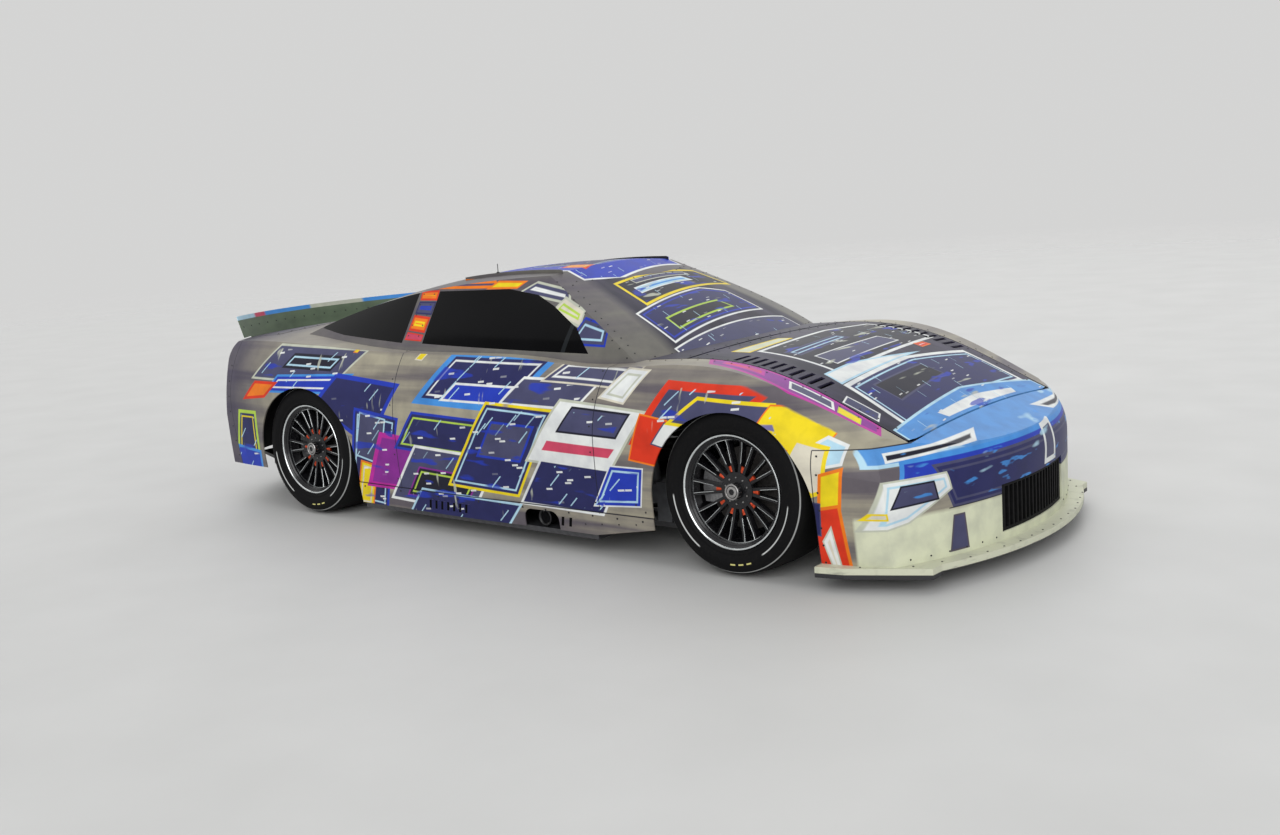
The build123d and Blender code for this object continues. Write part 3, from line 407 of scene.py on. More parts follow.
# Hood graphics: corners in x and y
hoodShards = [
    ("slate", "white", "slate", 0.006, (1.84, -0.69), (1.82, -0.62), (1.97, -0.61), (2.00, -0.68)),
    ("olive", "yellow", "olive", 0.010, (1.18, -0.52), (1.16, -0.10), (1.22, -0.06), (1.27, -0.50)),
    ("ink", "white", "ink", 0.018, (1.28, -0.46), (1.20, 0.24), (1.24, 0.60), (1.60, 0.62), (1.70, -0.44)),
    ("navy", "slate", "ice", 0.006, (1.38, -0.40), (1.32, 0.14), (1.40, 0.16), (1.46, -0.38)),
    ("slate", "white", "slate", 0.006, (1.50, -0.34), (1.46, 0.30), (1.56, 0.34), (1.62, -0.34)),
    ("white", "ice", "white", 0.010, (1.655, -0.52), (1.60, 0.30), (1.66, 0.62), (1.74, 0.62), (1.70, 0.28),
     (1.755, -0.54)),
    ("navy", "white", "ice", 0.022, (1.76, -0.54), (1.71, 0.10), (1.76, 0.60), (2.06, 0.62), (2.12, -0.60)),
    ("ink", "slate", "ink", 0.008, (1.82, -0.40), (1.79, 0.10), (1.90, 0.12), (1.96, -0.40)),
    ("haze", "ice", "haze", 0.010, (2.06, -0.68), (2.00, 0.04), (2.06, 0.68), (2.24, 0.70), (2.24, -0.70)),
    ("white", "haze", "white", 0.014, (2.07, -0.36), (2.05, 0.06), (2.08, 0.42), (2.14, 0.38), (2.14, -0.32)),
    ("red", "orange", "white", 0.005, (1.62, 0.36), (1.62, 0.46), (1.66, 0.47), (1.67, 0.36)),
]
# These lights and dashes are on the roof and the windshield too, and this ground is on the windshield
hoodGlints = [
    ("paleGrey", 4.0, (5.0, 0.8, 1), (0, 0, -0.15), 0.66),
    ("royal", 5.0, (4.0, 1.0, 1), (0, 0, 0.2), 0.62),
]
hoodGround = {"light": "dusk", "dark": "ink", "stretch": (0.7, 2.6, 1), "low": 0.66, "high": 0.40}
hoodDashes = [("white", (0, 0, 1.46), 0.34, 0.10, 0.975), ("ice", (0, 0, 0.2), 0.5, 0.08, 0.982)]


def hoodPaint(name):
    finish = Finish(name, specular=wrapGloss["level"])
    colour, inside = paintShards(finish, wrapGround(finish, **hoodGround), (0, 1), hoodShards)
    colour = paintDashes(finish, paintGlints(finish, colour, inside, hoodGlints), inside, hoodDashes)
    return finishWrap(finish, colour, innerFaces(finish, finish.facing((0, 0, 1)), "hood"))


# Nose graphics: corners in y and z
noseShards = [
    ("haze", "ice", "haze", 0.012, (-0.92, 0.50), (-0.86, 0.76), (0.86, 0.76), (0.92, 0.50)),
    ("royal", "sky", "royal", 0.016, (-0.84, 0.42), (-0.80, 0.52), (0.80, 0.52), (0.84, 0.42)),
    ("navy", "slate", "slate", 0.010, (-0.60, 0.30), (-0.68, 0.485), (0.68, 0.485), (0.60, 0.30)),
    ("white", "paleGrey", "ice", 0.006, (-0.93, 0.20), (-0.90, 0.45), (-0.62, 0.45), (-0.585, 0.31),
     (-0.80, 0.27)),
    ("slate", "ink", "slate", 0.006, (-0.875, 0.335), (-0.83, 0.425), (-0.685, 0.425), (-0.665, 0.345)),
    ("white", "paleGrey", "ice", 0.006, (0.93, 0.20), (0.90, 0.45), (0.62, 0.45), (0.585, 0.31),
     (0.80, 0.27)),
    ("slate", "ink", "slate", 0.006, (0.875, 0.335), (0.83, 0.425), (0.685, 0.425), (0.665, 0.345)),
    ("slate", "white", "slate", 0.020, (0.06, 0.35), (0.09, 0.52), (0.22, 0.53), (0.21, 0.35)),
    ("ink", "white", "slate", 0.008, (-0.855, 0.515), (-0.84, 0.552), (-0.29, 0.566), (-0.40, 0.535)),
    ("ink", "white", "slate", 0.008, (0.29, 0.566), (0.84, 0.552), (0.855, 0.515), (0.40, 0.535)),
    ("slate", "shadeGrey", "slate", 0.006, (-0.62, 0.12), (-0.60, 0.27), (-0.54, 0.27), (-0.52, 0.12)),
    ("cream", "yellow", "slate", 0.006, (-0.925, 0.295), (-0.915, 0.325), (-0.885, 0.325), (-0.880, 0.295)),
]
noseGlints = [
    ("ice", 3.0, (1, 1.2, 5.0), (0.12, 0, 0), 0.62),
    ("sky", 7.0, (1, 1.0, 4.0), (-0.2, 0, 0), 0.62),
]


# Where the front starts, its olive foot with a wavering edge, its seam, and the side's rows that run on to it
noseLook = {"front": (2.00, 2.012), "foot": 0.32, "footSoft": 0.01, "waver": 0.04, "sideways": 0.4,
            "seam": (2, 0.300, 1, -0.62, 0.62), "sideRows": 6}


def nosePaint(name):
    finish = Finish(name, specular=wrapGloss["upright"])
    front = finish.ramp(finish.along((1, 0, 0)), *noseLook["front"])
    height = finish.along((0, 0, 1)) + finish.noise(3.0) * noseLook["waver"]
    foot = finish.below(height, noseLook["foot"], noseLook["footSoft"]) * front
    ground = finish.blend(foot, wrapGround(finish), tint("olive"))
    colour, inside = paintShards(finish, ground, (1, 2), noseShards, front)
    colour = paintGlints(finish, colour, inside, noseGlints)
    colour = paintShards(finish, colour, (0, 2), sideShards[-noseLook["sideRows"]:], 1 - front)[0]
    outwards = finish.facing((1, 0, 0)) + abs(finish.facing((0, 1, 0))) * noseLook["sideways"]
    seams = seamLines(finish, [*panelSeams[3:5], noseLook["seam"]])
    return finishWrap(finish, colour, innerFaces(finish, outwards, "nose"), seams)


# Roof graphics in x and y, and those of pillars and roof sides in x and z
roofShards = [
    ("royal", "white", "royal", 0.014, (-0.50, -0.34), (-0.60, 0.40), (0.20, 0.46), (0.32, -0.20),
     (0.24, -0.40)),
    ("navy", "royal", "ice", 0.010, (-0.30, -0.24), (-0.34, 0.24), (0.06, 0.26), (0.16, -0.24)),
    ("orange", "red", "yellow", 0.008, (0.00, -0.30), (-0.02, -0.20), (0.13, -0.18), (0.16, -0.29)),
]
pillarShards = [
    ("slate", "orange", "red", 0.012, (-0.66, 1.195), (-0.58, 1.230), (-0.20, 1.232), (-0.16, 1.195)),
    ("yellow", "orange", "white", 0.008, (-0.24, 1.19), (-0.18, 1.230), (0.00, 1.225), (-0.04, 1.19)),
    ("slate", "paleGrey", "white", 0.008, (-0.02, 1.17), (0.06, 1.222), (0.28, 1.18), (0.34, 1.11)),
    ("cream", "paleGrey", "lime", 0.008, (0.24, 1.08), (0.28, 1.15), (0.44, 1.09), (0.46, 1.01)),
    ("slate", "royal", "ice", 0.008, (0.42, 0.94), (0.46, 1.06), (0.62, 1.02), (0.64, 0.93)),
    ("orange", "red", "yellow", 0.008, (-0.700, 1.14), (-0.715, 1.185), (-0.575, 1.190), (-0.565, 1.14)),
    ("slate", "navy", "royal", 0.006, (-0.695, 1.075), (-0.700, 1.135), (-0.565, 1.135), (-0.560, 1.070)),
    ("orange", "red", "yellow", 0.010, (-0.690, 0.995), (-0.695, 1.070), (-0.560, 1.060), (-0.556, 0.985)),
    ("rose", "red", "red", 0.004, (-0.690, 0.950), (-0.690, 0.988), (-0.556, 0.976), (-0.554, 0.945)),
]


roofLook = {"upward": (0.80, 0.88), "sideways": 2.0}


def roofPaint(name):
    finish = Finish(name, specular=wrapGloss["level"])
    upward = finish.ramp(finish.facing((0, 0, 1)), *roofLook["upward"])
    # The ground is the roof's darker grey: painted shade on the cabin shell
    colour = paintShards(finish, wrapGround(finish, "roofShadeGrey"), (0, 2), pillarShards, 1 - upward)[0]
    colour, inside = paintShards(finish, colour, (0, 1), roofShards)
    colour = paintDashes(finish, paintGlints(finish, colour, inside, hoodGlints), inside, hoodDashes)
    sideways = finish.facing((0, 1, 0)) * finish.along((0, 1, 0)) * roofLook["sideways"]
    return finishWrap(finish, colour, innerFaces(finish, sideways + finish.facing((0, 0, 1)), "roof"))


# Windshield graphics: corners in x and y
screenShards = [
    ("ink", "yellow", "ink", 0.016, (0.34, -0.30), (0.28, 0.44), (0.46, 0.54), (0.58, -0.34)),
    ("ice", "white", "sky", 0.006, (0.42, -0.24), (0.38, 0.20), (0.43, 0.24), (0.48, -0.25)),
    ("slate", "paleGrey", "slate", 0.005, (0.35, -0.18), (0.32, 0.30), (0.36, 0.31), (0.39, -0.18)),
    ("navy", "white", "royal", 0.010, (0.60, -0.46), (0.52, 0.16), (0.56, 0.34), (0.78, 0.36), (0.86, -0.50)),
    ("ink", "lime", "ink", 0.010, (0.70, -0.36), (0.66, 0.12), (0.74, 0.16), (0.80, -0.38)),
    ("slate", "white", "slate", 0.008, (0.88, -0.54), (0.84, 0.44), (1.00, 0.50), (1.04, -0.56)),
]


# The strips along the pillars keep the roof's ground, a darker grey that is painted shade: how they slant,
# and where they start
screenLook = {"slant": 0.28, "strip": (0.27, 0.34)}


def screenPaint(name):
    finish = Finish(name, specular=wrapGloss["level"])
    ground = wrapGround(finish, **hoodGround)
    across = abs(finish.along((0, 1, 0))) - screenLook["slant"] * finish.along((1, 0, 0))
    ground = finish.blend(finish.ramp(across, *screenLook["strip"]), ground, wrapGround(finish, "roofShadeGrey"))
    colour, inside = paintShards(finish, ground, (0, 1), screenShards)
    colour = paintDashes(finish, paintGlints(finish, colour, inside, hoodGlints), inside, hoodDashes)
    return finishWrap(finish, colour, innerFaces(finish, finish.facing((0, 0, 1)), "screen"))


# Tail graphics: corners in y and z
tailShards = [
    ("paleGrey", "white", "white", 0.010, (-0.80, 0.85), (-0.80, 0.91), (0.80, 0.91), (0.80, 0.85)),
    ("navy", "royal", "sky", 0.016, (-0.70, 0.46), (-0.62, 0.72), (0.62, 0.72), (0.70, 0.46)),
    ("slate", "white", "ice", 0.010, (-0.40, 0.50), (-0.34, 0.68), (0.30, 0.68), (0.36, 0.50)),
    ("ink", "red", "rose", 0.008, (-0.88, 0.75), (-0.84, 0.81), (-0.40, 0.81), (-0.44, 0.75)),
    ("ink", "red", "rose", 0.008, (0.44, 0.75), (0.40, 0.81), (0.84, 0.81), (0.88, 0.75)),
    ("lime", "yellow", "white", 0.008, (0.70, 0.34), (0.64, 0.46), (0.80, 0.48), (0.86, 0.34)),
    ("purple", "magenta", "rose", 0.010, (-0.86, 0.30), (-0.80, 0.48), (-0.62, 0.46), (-0.70, 0.30)),
]


tailLook = {"rearward": (0.35, 0.5)}


def tailPaint(name):
    finish = Finish(name, specular=wrapGloss["upright"])
    rearward = finish.ramp(finish.facing((-1, 0, 0)), *tailLook["rearward"])
    # Painted shade: the ground darkens towards the tail
    ground = finish.blend(paintedTailShade(finish), wrapGround(finish), tint("dusk"))
    colour, inside = paintShards(finish, ground, (1, 2), tailShards, rearward)
    colour = paintGlints(finish, colour, inside, noseGlints)
    outwards = finish.facing((-1, 0, 0)) + finish.facing((0, 0, 1))
    return finishWrap(finish, colour, innerFaces(finish, outwards, "tail"), seamLines(finish, panelSeams[5:]))


# The blade's faces, and the colours of its thin top edge with the place across the car where each one starts
spoilerLook = {"dark": (0.055, 0.080, 0.048, 1), "light": (0.14, 0.19, 0.12, 1), "edge": (1.040, 1.043),
               "first": "ice", "bands": [(-0.60, "rose"), (-0.50, "sky"), (-0.10, "paleGrey"), (0.30, "sky")],
               "soft": 0.02}


def spoilerPaint(name):
    finish = Finish(name, specular=wrapGloss["upright"])
    ground = finish.blend(finish.noise(6.0, 3.0, (1, 0.3, 2)), spoilerLook["dark"], spoilerLook["light"])
    edge = finish.ramp(finish.along((0, 0, 1)), *spoilerLook["edge"])
    across = finish.along((0, 1, 0))
    stripe = tint(spoilerLook["first"])
    for start, band in spoilerLook["bands"]:
        stripe = finish.blend(finish.ramp(across, start, start + spoilerLook["soft"]), stripe, tint(band))
    return finishWrap(finish, finish.blend(edge, ground, stripe))


lipCoat = {"colour": (0.55, 0.56, 0.43, 1), "scuff": (0.16, 0.16, 0.14, 1), "roughness": 0.46, "spread": 0.16,
           "under": 0.078, "scuffLevels": (0.58, 0.72), "scuffHeights": (0.10, 0.065),
           "cloudLevels": (0.55, 0.75), "cloudDepth": 0.35}


def lipPaint(name):
    # Scuffs near the ground, a light grime all over, and a bare underside
    finish = Finish(name, specular=0.35)
    height = finish.along((0, 0, 1))
    scuffs = finish.ramp(finish.noise(26.0, 6.0, (0.4, 0.4, 2.5)), *lipCoat["scuffLevels"])
    low = finish.ramp(height, *lipCoat["scuffHeights"])
    colour = finish.blend(scuffs * low, lipCoat["colour"], lipCoat["scuff"])
    cloud = finish.noise(18.0)
    grime = finish.ramp(cloud, *lipCoat["cloudLevels"]) * lipCoat["cloudDepth"]
    colour = finish.blend(grime, colour, lipCoat["scuff"])
    colour = finish.blend(finish.below(height, lipCoat["under"]), colour, tint("carbon"))
    finish.bump(finish.noise(300.0, 2.0), 0.08)
    return finish.surface(colour, cloud * lipCoat["spread"] + (lipCoat["roughness"] - lipCoat["spread"] / 2))


def plainFinish(name, light, dark, roughness, spread=0.12, metallic=0.0, coat=0.0, grain=60.0, bump=0.2,
                specular=0.5):
    finish = Finish(name, metallic, coat, specular)
    cloud = finish.noise(grain, 5.0)
    colour = finish.blend(finish.ramp(cloud, 0.35, 0.65), (*dark, 1), (*light, 1))
    finish.bump(finish.noise(grain * 4, 4.0), bump)
    return finish.surface(colour, cloud * spread + (roughness - spread / 2))


weave = {"pitch": 0.004, "light": (0.040, 0.040, 0.045, 1), "dark": (0.014, 0.014, 0.017, 1),
         "roughness": 0.34, "spread": 0.12}


def carbonFinish(name):
    finish = Finish(name, coat=0.4)
    count = 1 / weave["pitch"]
    stripes = finish.node("ShaderNodeTexWave", {"bands_direction": "DIAGONAL"},
                          {"Vector": finish.place, "Scale": count / 20})
    twill = finish.node("ShaderNodeTexChecker", {}, {"Vector": finish.place, "Scale": count}, 1)
    mixed = stripes * 0.4 + twill * 0.6
    finish.bump(mixed, 0.15, 0.0003)
    roughness = weave["spread"] * finish.noise(8.0) + weave["roughness"]
    return finish.surface(finish.blend(mixed, weave["dark"], weave["light"]), roughness)


# Colours, and marks as a radius and half a width. Turns about the axle are in radians
tyreMarks = {
    "tread": (0.010, 0.010, 0.010, 1), "wall": (0.006, 0.006, 0.0065, 1), "dust": (0.012, 0.011, 0.011, 1),
    "line": (0.50, 0.51, 0.50, 1), "dash": (0.62, 0.58, 0.22, 1), "treadSpan": (0.345, 0.349),
    "outerSide": (0.150, 0.152), "ring": (0.3385, 0.0018), "letterHighlightArcs": (0.290, 0.0028), "dashes": (0.303, 0.0030),
    "soft": 0.0008, "arcTurn": 1.02, "arcHalf": 0.44, "dashTurn": 1.72, "dashHalf": 0.20, "dashCount": 46.0,
}


def tyreFinish(name):
    # The piece's own axes: Y runs along the axle
    finish = Finish(name, specular=0.06)
    flat = finish.node("ShaderNodeVectorMath", {"operation": "MULTIPLY"}, {0: finish.place, 1: (1, 0, 1)})
    radius = finish.length(flat)
    parts = [finish.node("ShaderNodeSeparateXYZ", {}, {0: finish.place}, axis) for axis in range(3)]
    angle = finish.node("ShaderNodeMath", {"operation": "ARCTAN2"}, {0: parts[2], 1: parts[0]})
    tread = finish.ramp(radius, *tyreMarks["treadSpan"])
    grain = finish.noise(90.0, 6.0)
    colour = finish.blend(tread, tyreMarks["wall"], tyreMarks["tread"])
    colour = finish.blend(finish.ramp(grain, 0.5, 0.75) * 0.6, colour, tyreMarks["dust"])
    street = finish.ramp(parts[1], *tyreMarks["outerSide"])

    def ringMark(mark):
        middle, half = tyreMarks[mark]
        return finish.below(abs(radius - middle), half, tyreMarks["soft"]) * street

    # Two arcs, one each side of the ground's direction, and a row of dashes between them
    fromGround = abs(angle + math.pi / 2)
    # The arcs stand for sidewall lettering and paint the highlight where light catches it, in light grey
    letterHighlightArcs = ringMark("letterHighlightArcs") * finish.below(abs(fromGround - tyreMarks["arcTurn"]), tyreMarks["arcHalf"], 0.02)
    wave = finish.node("ShaderNodeMath", {"operation": "SINE"}, {0: angle * tyreMarks["dashCount"]})
    span = finish.below(abs(angle + tyreMarks["dashTurn"]), tyreMarks["dashHalf"], 0.01)
    dashes = ringMark("dashes") * span * finish.ramp(wave, -0.35, -0.25)
    colour = finish.blend(ringMark("ring") * 0.7, colour, tyreMarks["line"])
    colour = finish.blend(letterHighlightArcs, colour, tyreMarks["line"])
    colour = finish.blend(dashes, colour, tyreMarks["dash"])
    fine = finish.node("ShaderNodeMath", {"operation": "SINE"}, {0: radius * 1400.0})
    finish.bump(grain * 0.6 + fine * 0.12 * (1 - tread), 0.35, 0.0012)
    return finish.surface(colour, grain * 0.2 + 0.50)


netCloth = {"colour": (0.018, 0.018, 0.021, 1), "light": (0.05, 0.05, 0.055, 1), "ribs": 160.0}


def webbingFinish(name):
    finish = Finish(name, specular=0.3)
    ribs = finish.node("ShaderNodeTexWave", {"bands_direction": "DIAGONAL"},
                       {"Vector": finish.place, "Scale": netCloth["ribs"]})
    finish.bump(ribs, 0.4, 0.0006)
    return finish.surface(finish.blend(ribs * 0.7, netCloth["colour"], netCloth["light"]),
                          0.1 * finish.noise(40.0) + 0.78)


# Near black windows, with a thin brace showing faintly behind the side ones
windowLook = {"alpha": 0.985, "dark": (0.001, 0.001, 0.001, 1), "smear": (0.003, 0.003, 0.004, 1),
              "brace": (0.014, 0.016, 0.018, 1), "bracePlace": 0.41, "braceHalf": 0.012, "roughness": 0.06}


def glassFinish(name):
    finish = Finish(name, specular=0.04)
    smear = finish.noise(5.0, 4.0)
    finish.shader.inputs["Alpha"].default_value = windowLook["alpha"]
    finish.bump(finish.noise(3.0), 0.03, 0.002)
    brace = finish.below(abs(finish.along((1, 0, 0)) - windowLook["bracePlace"]), windowLook["braceHalf"])
    colour = finish.blend(smear, windowLook["dark"], windowLook["smear"])
    colour = finish.blend(brace, colour, windowLook["brace"])
    return finish.surface(colour, smear * 0.05 + windowLook["roughness"])


finishes = {
    "side": sidePaint("sideWrap"),
    "hood": hoodPaint("hoodWrap"),
    "nose": nosePaint("noseWrap"),
    "roof": roofPaint("roofWrap"),
    "screen": screenPaint("screenWrap"),
    "tail": tailPaint("tailWrap"),
    "spoiler": spoilerPaint("spoilerWrap"),
    "lip": lipPaint("lipPaint"),
    "carbon": carbonFinish("wovenComposite"),
    "glass": glassFinish("darkWindow"),
    "tyre": tyreFinish("raceRubber"),
    "webbing": webbingFinish("netWebbing"),
    "blackPlastic": plainFinish("blackPlastic", (0.014, 0.014, 0.016), (0.007, 0.007, 0.008), 0.45,
                                specular=0.3),
    # Painted shade: the black of the rocker slots and of the discs inside the pipe tips
    "paintedShadeBlack": plainFinish("paintedShadeBlack", (0.004, 0.004, 0.005), (0.002, 0.002, 0.002), 0.85,
                               specular=0.05),
    "wheelBlack": plainFinish("wheelBlack", (0.010, 0.010, 0.012), (0.005, 0.005, 0.006), 0.26, coat=0.15,
                              specular=0.3),
    "frame": plainFinish("framePaint", (0.13, 0.135, 0.145), (0.10, 0.104, 0.112), 0.42, grain=30.0),
    "cast": plainFinish("castAlloy", (0.42, 0.42, 0.43), (0.28, 0.28, 0.29), 0.42, metallic=0.9,
                        grain=120.0, bump=0.4),
    "steel": plainFinish("machinedSteel", (0.46, 0.45, 0.44), (0.32, 0.31, 0.31), 0.3, metallic=1.0,
                         grain=80.0),
    "polished": plainFinish("polishedLip", (0.80, 0.83, 0.83), (0.64, 0.67, 0.68), 0.16, 0.06, metallic=1.0,
                            grain=30.0, bump=0.05),
    "darkSteel": plainFinish("darkSteel", (0.020, 0.020, 0.022), (0.008, 0.008, 0.009), 0.42, metallic=0.3,
                             grain=200.0),
    "iron": plainFinish("discIron", (0.060, 0.055, 0.052), (0.030, 0.028, 0.027), 0.45, metallic=0.6,
                        grain=150.0),
    "grilleBlack": plainFinish("grilleBlack", (0.007, 0.007, 0.008), (0.003, 0.003, 0.003), 0.6,
                               specular=0.1),
    "redMetal": plainFinish("redAnodised", (0.70, 0.085, 0.02), (0.46, 0.04, 0.01), 0.3, metallic=0.4,
                            grain=40.0),
    "cell": plainFinish("cellEnamel", (0.25, 0.03, 0.03), (0.18, 0.02, 0.02), 0.4, grain=20.0),
    "cloth": plainFinish("seatCloth", (0.030, 0.030, 0.034), (0.014, 0.014, 0.016), 0.82, grain=220.0,
                         bump=0.6),
}
print("finishes made:", len(finishes))

nodeFinish = {
    "front_fascia": "nose", "grille": "grilleBlack", "splitter": "lip", "hood": "hood", "cowl": "hood",
    "rear_fascia": "tail", "decklid": "tail", "spoiler": "spoiler", "rear_shelf": "tail",
    "cabin_shell": "roof", "windshield": "screen", "rear_window": "glass", "side_windows": "glass",
    "window_net": "webbing", "undertray": "carbon", "frame_rails": "frame", "roll_cage": "frame",
    "seat": "carbon", "steering_wheel": "blackPlastic", "dashboard": "carbon", "fuel_cell": "cell",
    "fuel_filler": "cast", "drivetrain": "cast", "exhaust": "steel", "front_suspension": "iron",
    "rear_suspension": "iron", "rear_uprights": "cast", "knuckle_left": "cast", "knuckle_right": "cast",
}
for start, finishName in (("fender_", "side"), ("door_", "side"), ("quarter_", "side"), ("rocker_", "side"),
                          ("tyre_", "tyre"), ("rim_", "wheelBlack"), ("brake_disc_", "iron")):
    for name in nodes:
        if name.startswith(start):
            nodeFinish[name] = finishName
for name, thing in nodes.items():
    for holder in thing.material_slots:
        holder.link = "OBJECT"
        holder.material = finishes[nodeFinish[name]]
print("nodes dressed:", len(nodes))


# Camera, light and floor
cameraPlace = {"spot": (4.589, -5.352, 1.607), "yaw": 129.31, "pitch": -9.48, "roll": -3.95, "lens": 37.43}


def makeCamera():
    yaw, pitch, roll = (math.radians(cameraPlace[key]) for key in ("yaw", "pitch", "roll"))
    look = Vector((math.cos(pitch) * math.cos(yaw), math.cos(pitch) * math.sin(yaw), math.sin(pitch)))
    level = Vector((math.sin(yaw), -math.cos(yaw), 0))
    upright = level.cross(look)
    right = math.cos(roll) * level + math.sin(roll) * upright
    top = math.cos(roll) * upright - math.sin(roll) * level
    data = bpy.data.cameras.new("camera")
    data.lens = cameraPlace["lens"]
    data.sensor_width = 36
    data.clip_end = 100
    camera = bpy.data.objects.new("camera", data)
    turn = Matrix((right, top, -look)).transposed().to_4x4()
    camera.matrix_world = Matrix.Translation(cameraPlace["spot"]) @ turn
    bpy.context.scene.collection.objects.link(camera)
    bpy.context.scene.camera = camera


studio = {"world": 0.52, "light": (0.80, 0.81, 0.82, 1), "backdrop": (0.66, 0.66, 0.655, 1),
          "floor": (0.60, 0.60, 0.59, 1), "floorDust": (0.54, 0.54, 0.53, 1),
          "floorFade": 5.0, "floorEnd": 30.0}
# Name, where the light comes from, its strength and its spread in degrees
lamps = [
    ("overhead", (-0.5, 0.3, 1.0), 0.9, 80),
    ("nearSide", (0.35, -1.0, 0.55), 1.5, 45),
    ("noseSide", (1.0, -0.35, 0.5), 0.7, 50),
    ("farSide", (-0.3, 1.0, 0.6), 0.5, 60),
]


def makeStudio():
    world = bpy.data.worlds.new("studio")
    bpy.context.scene.world = world
    world.use_nodes = True
    sheet = NodeSheet(world.node_tree)
    base = sheet.tree.nodes["Background"]
    base.inputs[0].default_value = studio["light"]
    base.inputs[1].default_value = studio["world"]
    shown = sheet.node("ShaderNodeBackground", {}, {0: studio["backdrop"]})
    rays = [sheet.node("ShaderNodeLightPath", {}, {}, name)
            for name in ("Is Camera Ray", "Is Glossy Ray", "Is Transmission Ray")]
    seen = rays[0].highest(rays[1]).highest(rays[2])
    mix = sheet.node("ShaderNodeMixShader", {}, {0: seen, 1: Signal(sheet, base.outputs[0]), 2: shown})
    sheet.feed(sheet.tree.nodes["World Output"].inputs[0], mix)
    for name, source, strength, spread in lamps:
        data = bpy.data.lights.new(name, "SUN")
        data.energy = strength
        data.angle = math.radians(spread)
        lamp = bpy.data.objects.new(name, data)
        lamp.rotation_mode = "QUATERNION"
        lamp.rotation_quaternion = Vector(source).to_track_quat("Z", "Y")
        bpy.context.scene.collection.objects.link(lamp)


def makeFloor():
    finish = Finish("floorSheet", specular=0.3)
    cloud = finish.noise(1.6, 6.0)
    finish.bump(finish.noise(40.0, 4.0), 0.05, 0.002)
    # The floor thins out with distance, so that it meets the backdrop with no edge
    thinned = finish.ramp(finish.length(finish.place), studio["floorEnd"], studio["floorFade"])
    finish.feed(finish.shader.inputs["Alpha"], thinned)
    colour = finish.blend(cloud, studio["floor"], studio["floorDust"])
    finishes["floor"] = finish.surface(colour, cloud * 0.2 + 0.45)
    reach = studio["floorEnd"]
    mesh = bpy.data.meshes.new("floor")
    sheetCorners = [(-reach, -reach, 0), (reach, -reach, 0), (reach, reach, 0), (-reach, reach, 0)]
    mesh.from_pydata(sheetCorners, [], [(0, 1, 2, 3)])
    mesh.materials.append(finishes["floor"])
    floor = bpy.data.objects.new("floor", mesh)
    floor.location.z = -0.0005
    bpy.context.scene.collection.objects.link(floor)


makeCamera()
makeStudio()
makeFloor()
bpy.context.scene.view_settings.view_transform = "Standard"
print("camera and studio made")


class Shape:
    # Points and faces of one piece, gathered from several parts
    def __init__(self):
        self.points = []
        self.faces = []

    def add(self, points, faces, matrix=None):
        start = len(self.points)
        self.points += [matrix @ Vector(p) if matrix else Vector(p) for p in points]
        self.faces += [tuple(start + i for i in face) for face in faces]

    def lathe(self, profile, steps, matrix=None):
        # A closed ring of radius and width points about the Y axis
        count = len(profile)
        points = []
        faces = []
        for i in range(steps):
            angle = 2 * math.pi * i / steps
            points += [(r * math.cos(angle), w, r * math.sin(angle)) for r, w in profile]
            for j in range(count):
                k = (j + 1) % count
                m = (i + 1) % steps
                faces.append((i * count + j, i * count + k, m * count + k, m * count + j))
        self.add(points, faces, matrix)

    def loft(self, rings, matrix=None):
        # Rings of points with capped ends
        count = len(rings[0])
        points = [p for ring in rings for p in ring]
        faces = [tuple(range(count))[::-1], tuple(range(len(points) - count, len(points)))]
        for i in range(len(rings) - 1):
            for j in range(count):
                k = (j + 1) % count
                faces.append((i * count + j, i * count + k, (i + 1) * count + k, (i + 1) * count + j))
        self.add(points, faces, matrix)

    def stud(self, radius, height, sides, matrix):
        # A domed or hexagonal head standing on the XY plane
        turns = [2 * math.pi * i / sides for i in range(sides)]
        self.loft([[(radius * r * math.cos(turn), radius * r * math.sin(turn), height * z) for turn in turns]
                   for r, z in ((1.0, -0.3), (1.0, 0.55), (0.78, 0.9), (0.4, 1.0))], matrix)

    def piece(self, name, finish, body, slot, smooth=False, matrix=None):
        mesh = bpy.data.meshes.new(name)
        mesh.from_pydata([tuple(p) for p in self.points], [], self.faces)
        mesh.validate()
        mesh.materials.append(finishes[finish])
        made = bpy.data.objects.new(name, mesh)
        bpy.context.scene.collection.objects.link(made)
        if smooth:
            mesh.polygons.foreach_set("use_smooth", [True] * len(mesh.polygons))
        if matrix:
            made.matrix_world = matrix
        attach(made, body)
        return made


def treeOf(*names):
    points = []
    faces = []
    for name in names:
        mesh = nodes[name].data
        start = len(points)
        points += [v.co.copy() for v in mesh.vertices]
        faces += [tuple(start + i for i in p.vertices) for p in mesh.polygons]
    return BVHTree.FromPolygons(points, faces)


def standOn(spot, normal):
    # The matrix whose Z runs along the normal at a spot
    return Matrix.Translation(spot) @ normal.to_track_quat("Z", "Y").to_matrix().to_4x4()


def rowPoints(points, pitch):
    # Evenly spaced points along a line of corners
    spots = []
    for first, second in zip(points, points[1:]):
        first, second = Vector(first), Vector(second)
        count = max(1, round((second - first).length / pitch))
        spots += [first.lerp(second, i / count) for i in range(count)]
    return spots + [Vector(points[-1])]


wheelSet = {"frontCamber": 2.5, "rearCamber": 1.5}
wheelCorners = [("front_left", 1), ("front_right", -1), ("rear_left", 1), ("rear_right", -1)]


def wheelMatrix(corner, side):
    low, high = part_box("rim_" + corner)
    camber = wheelSet["frontCamber"] if corner.startswith("front") else wheelSet["rearCamber"]
    turn = Matrix.Rotation(math.radians(side * camber), 4, "X")
    if side < 0:
        turn = turn @ Matrix.Rotation(math.pi, 4, "Z")
    return Matrix.Translation((low + high) / 2) @ turn


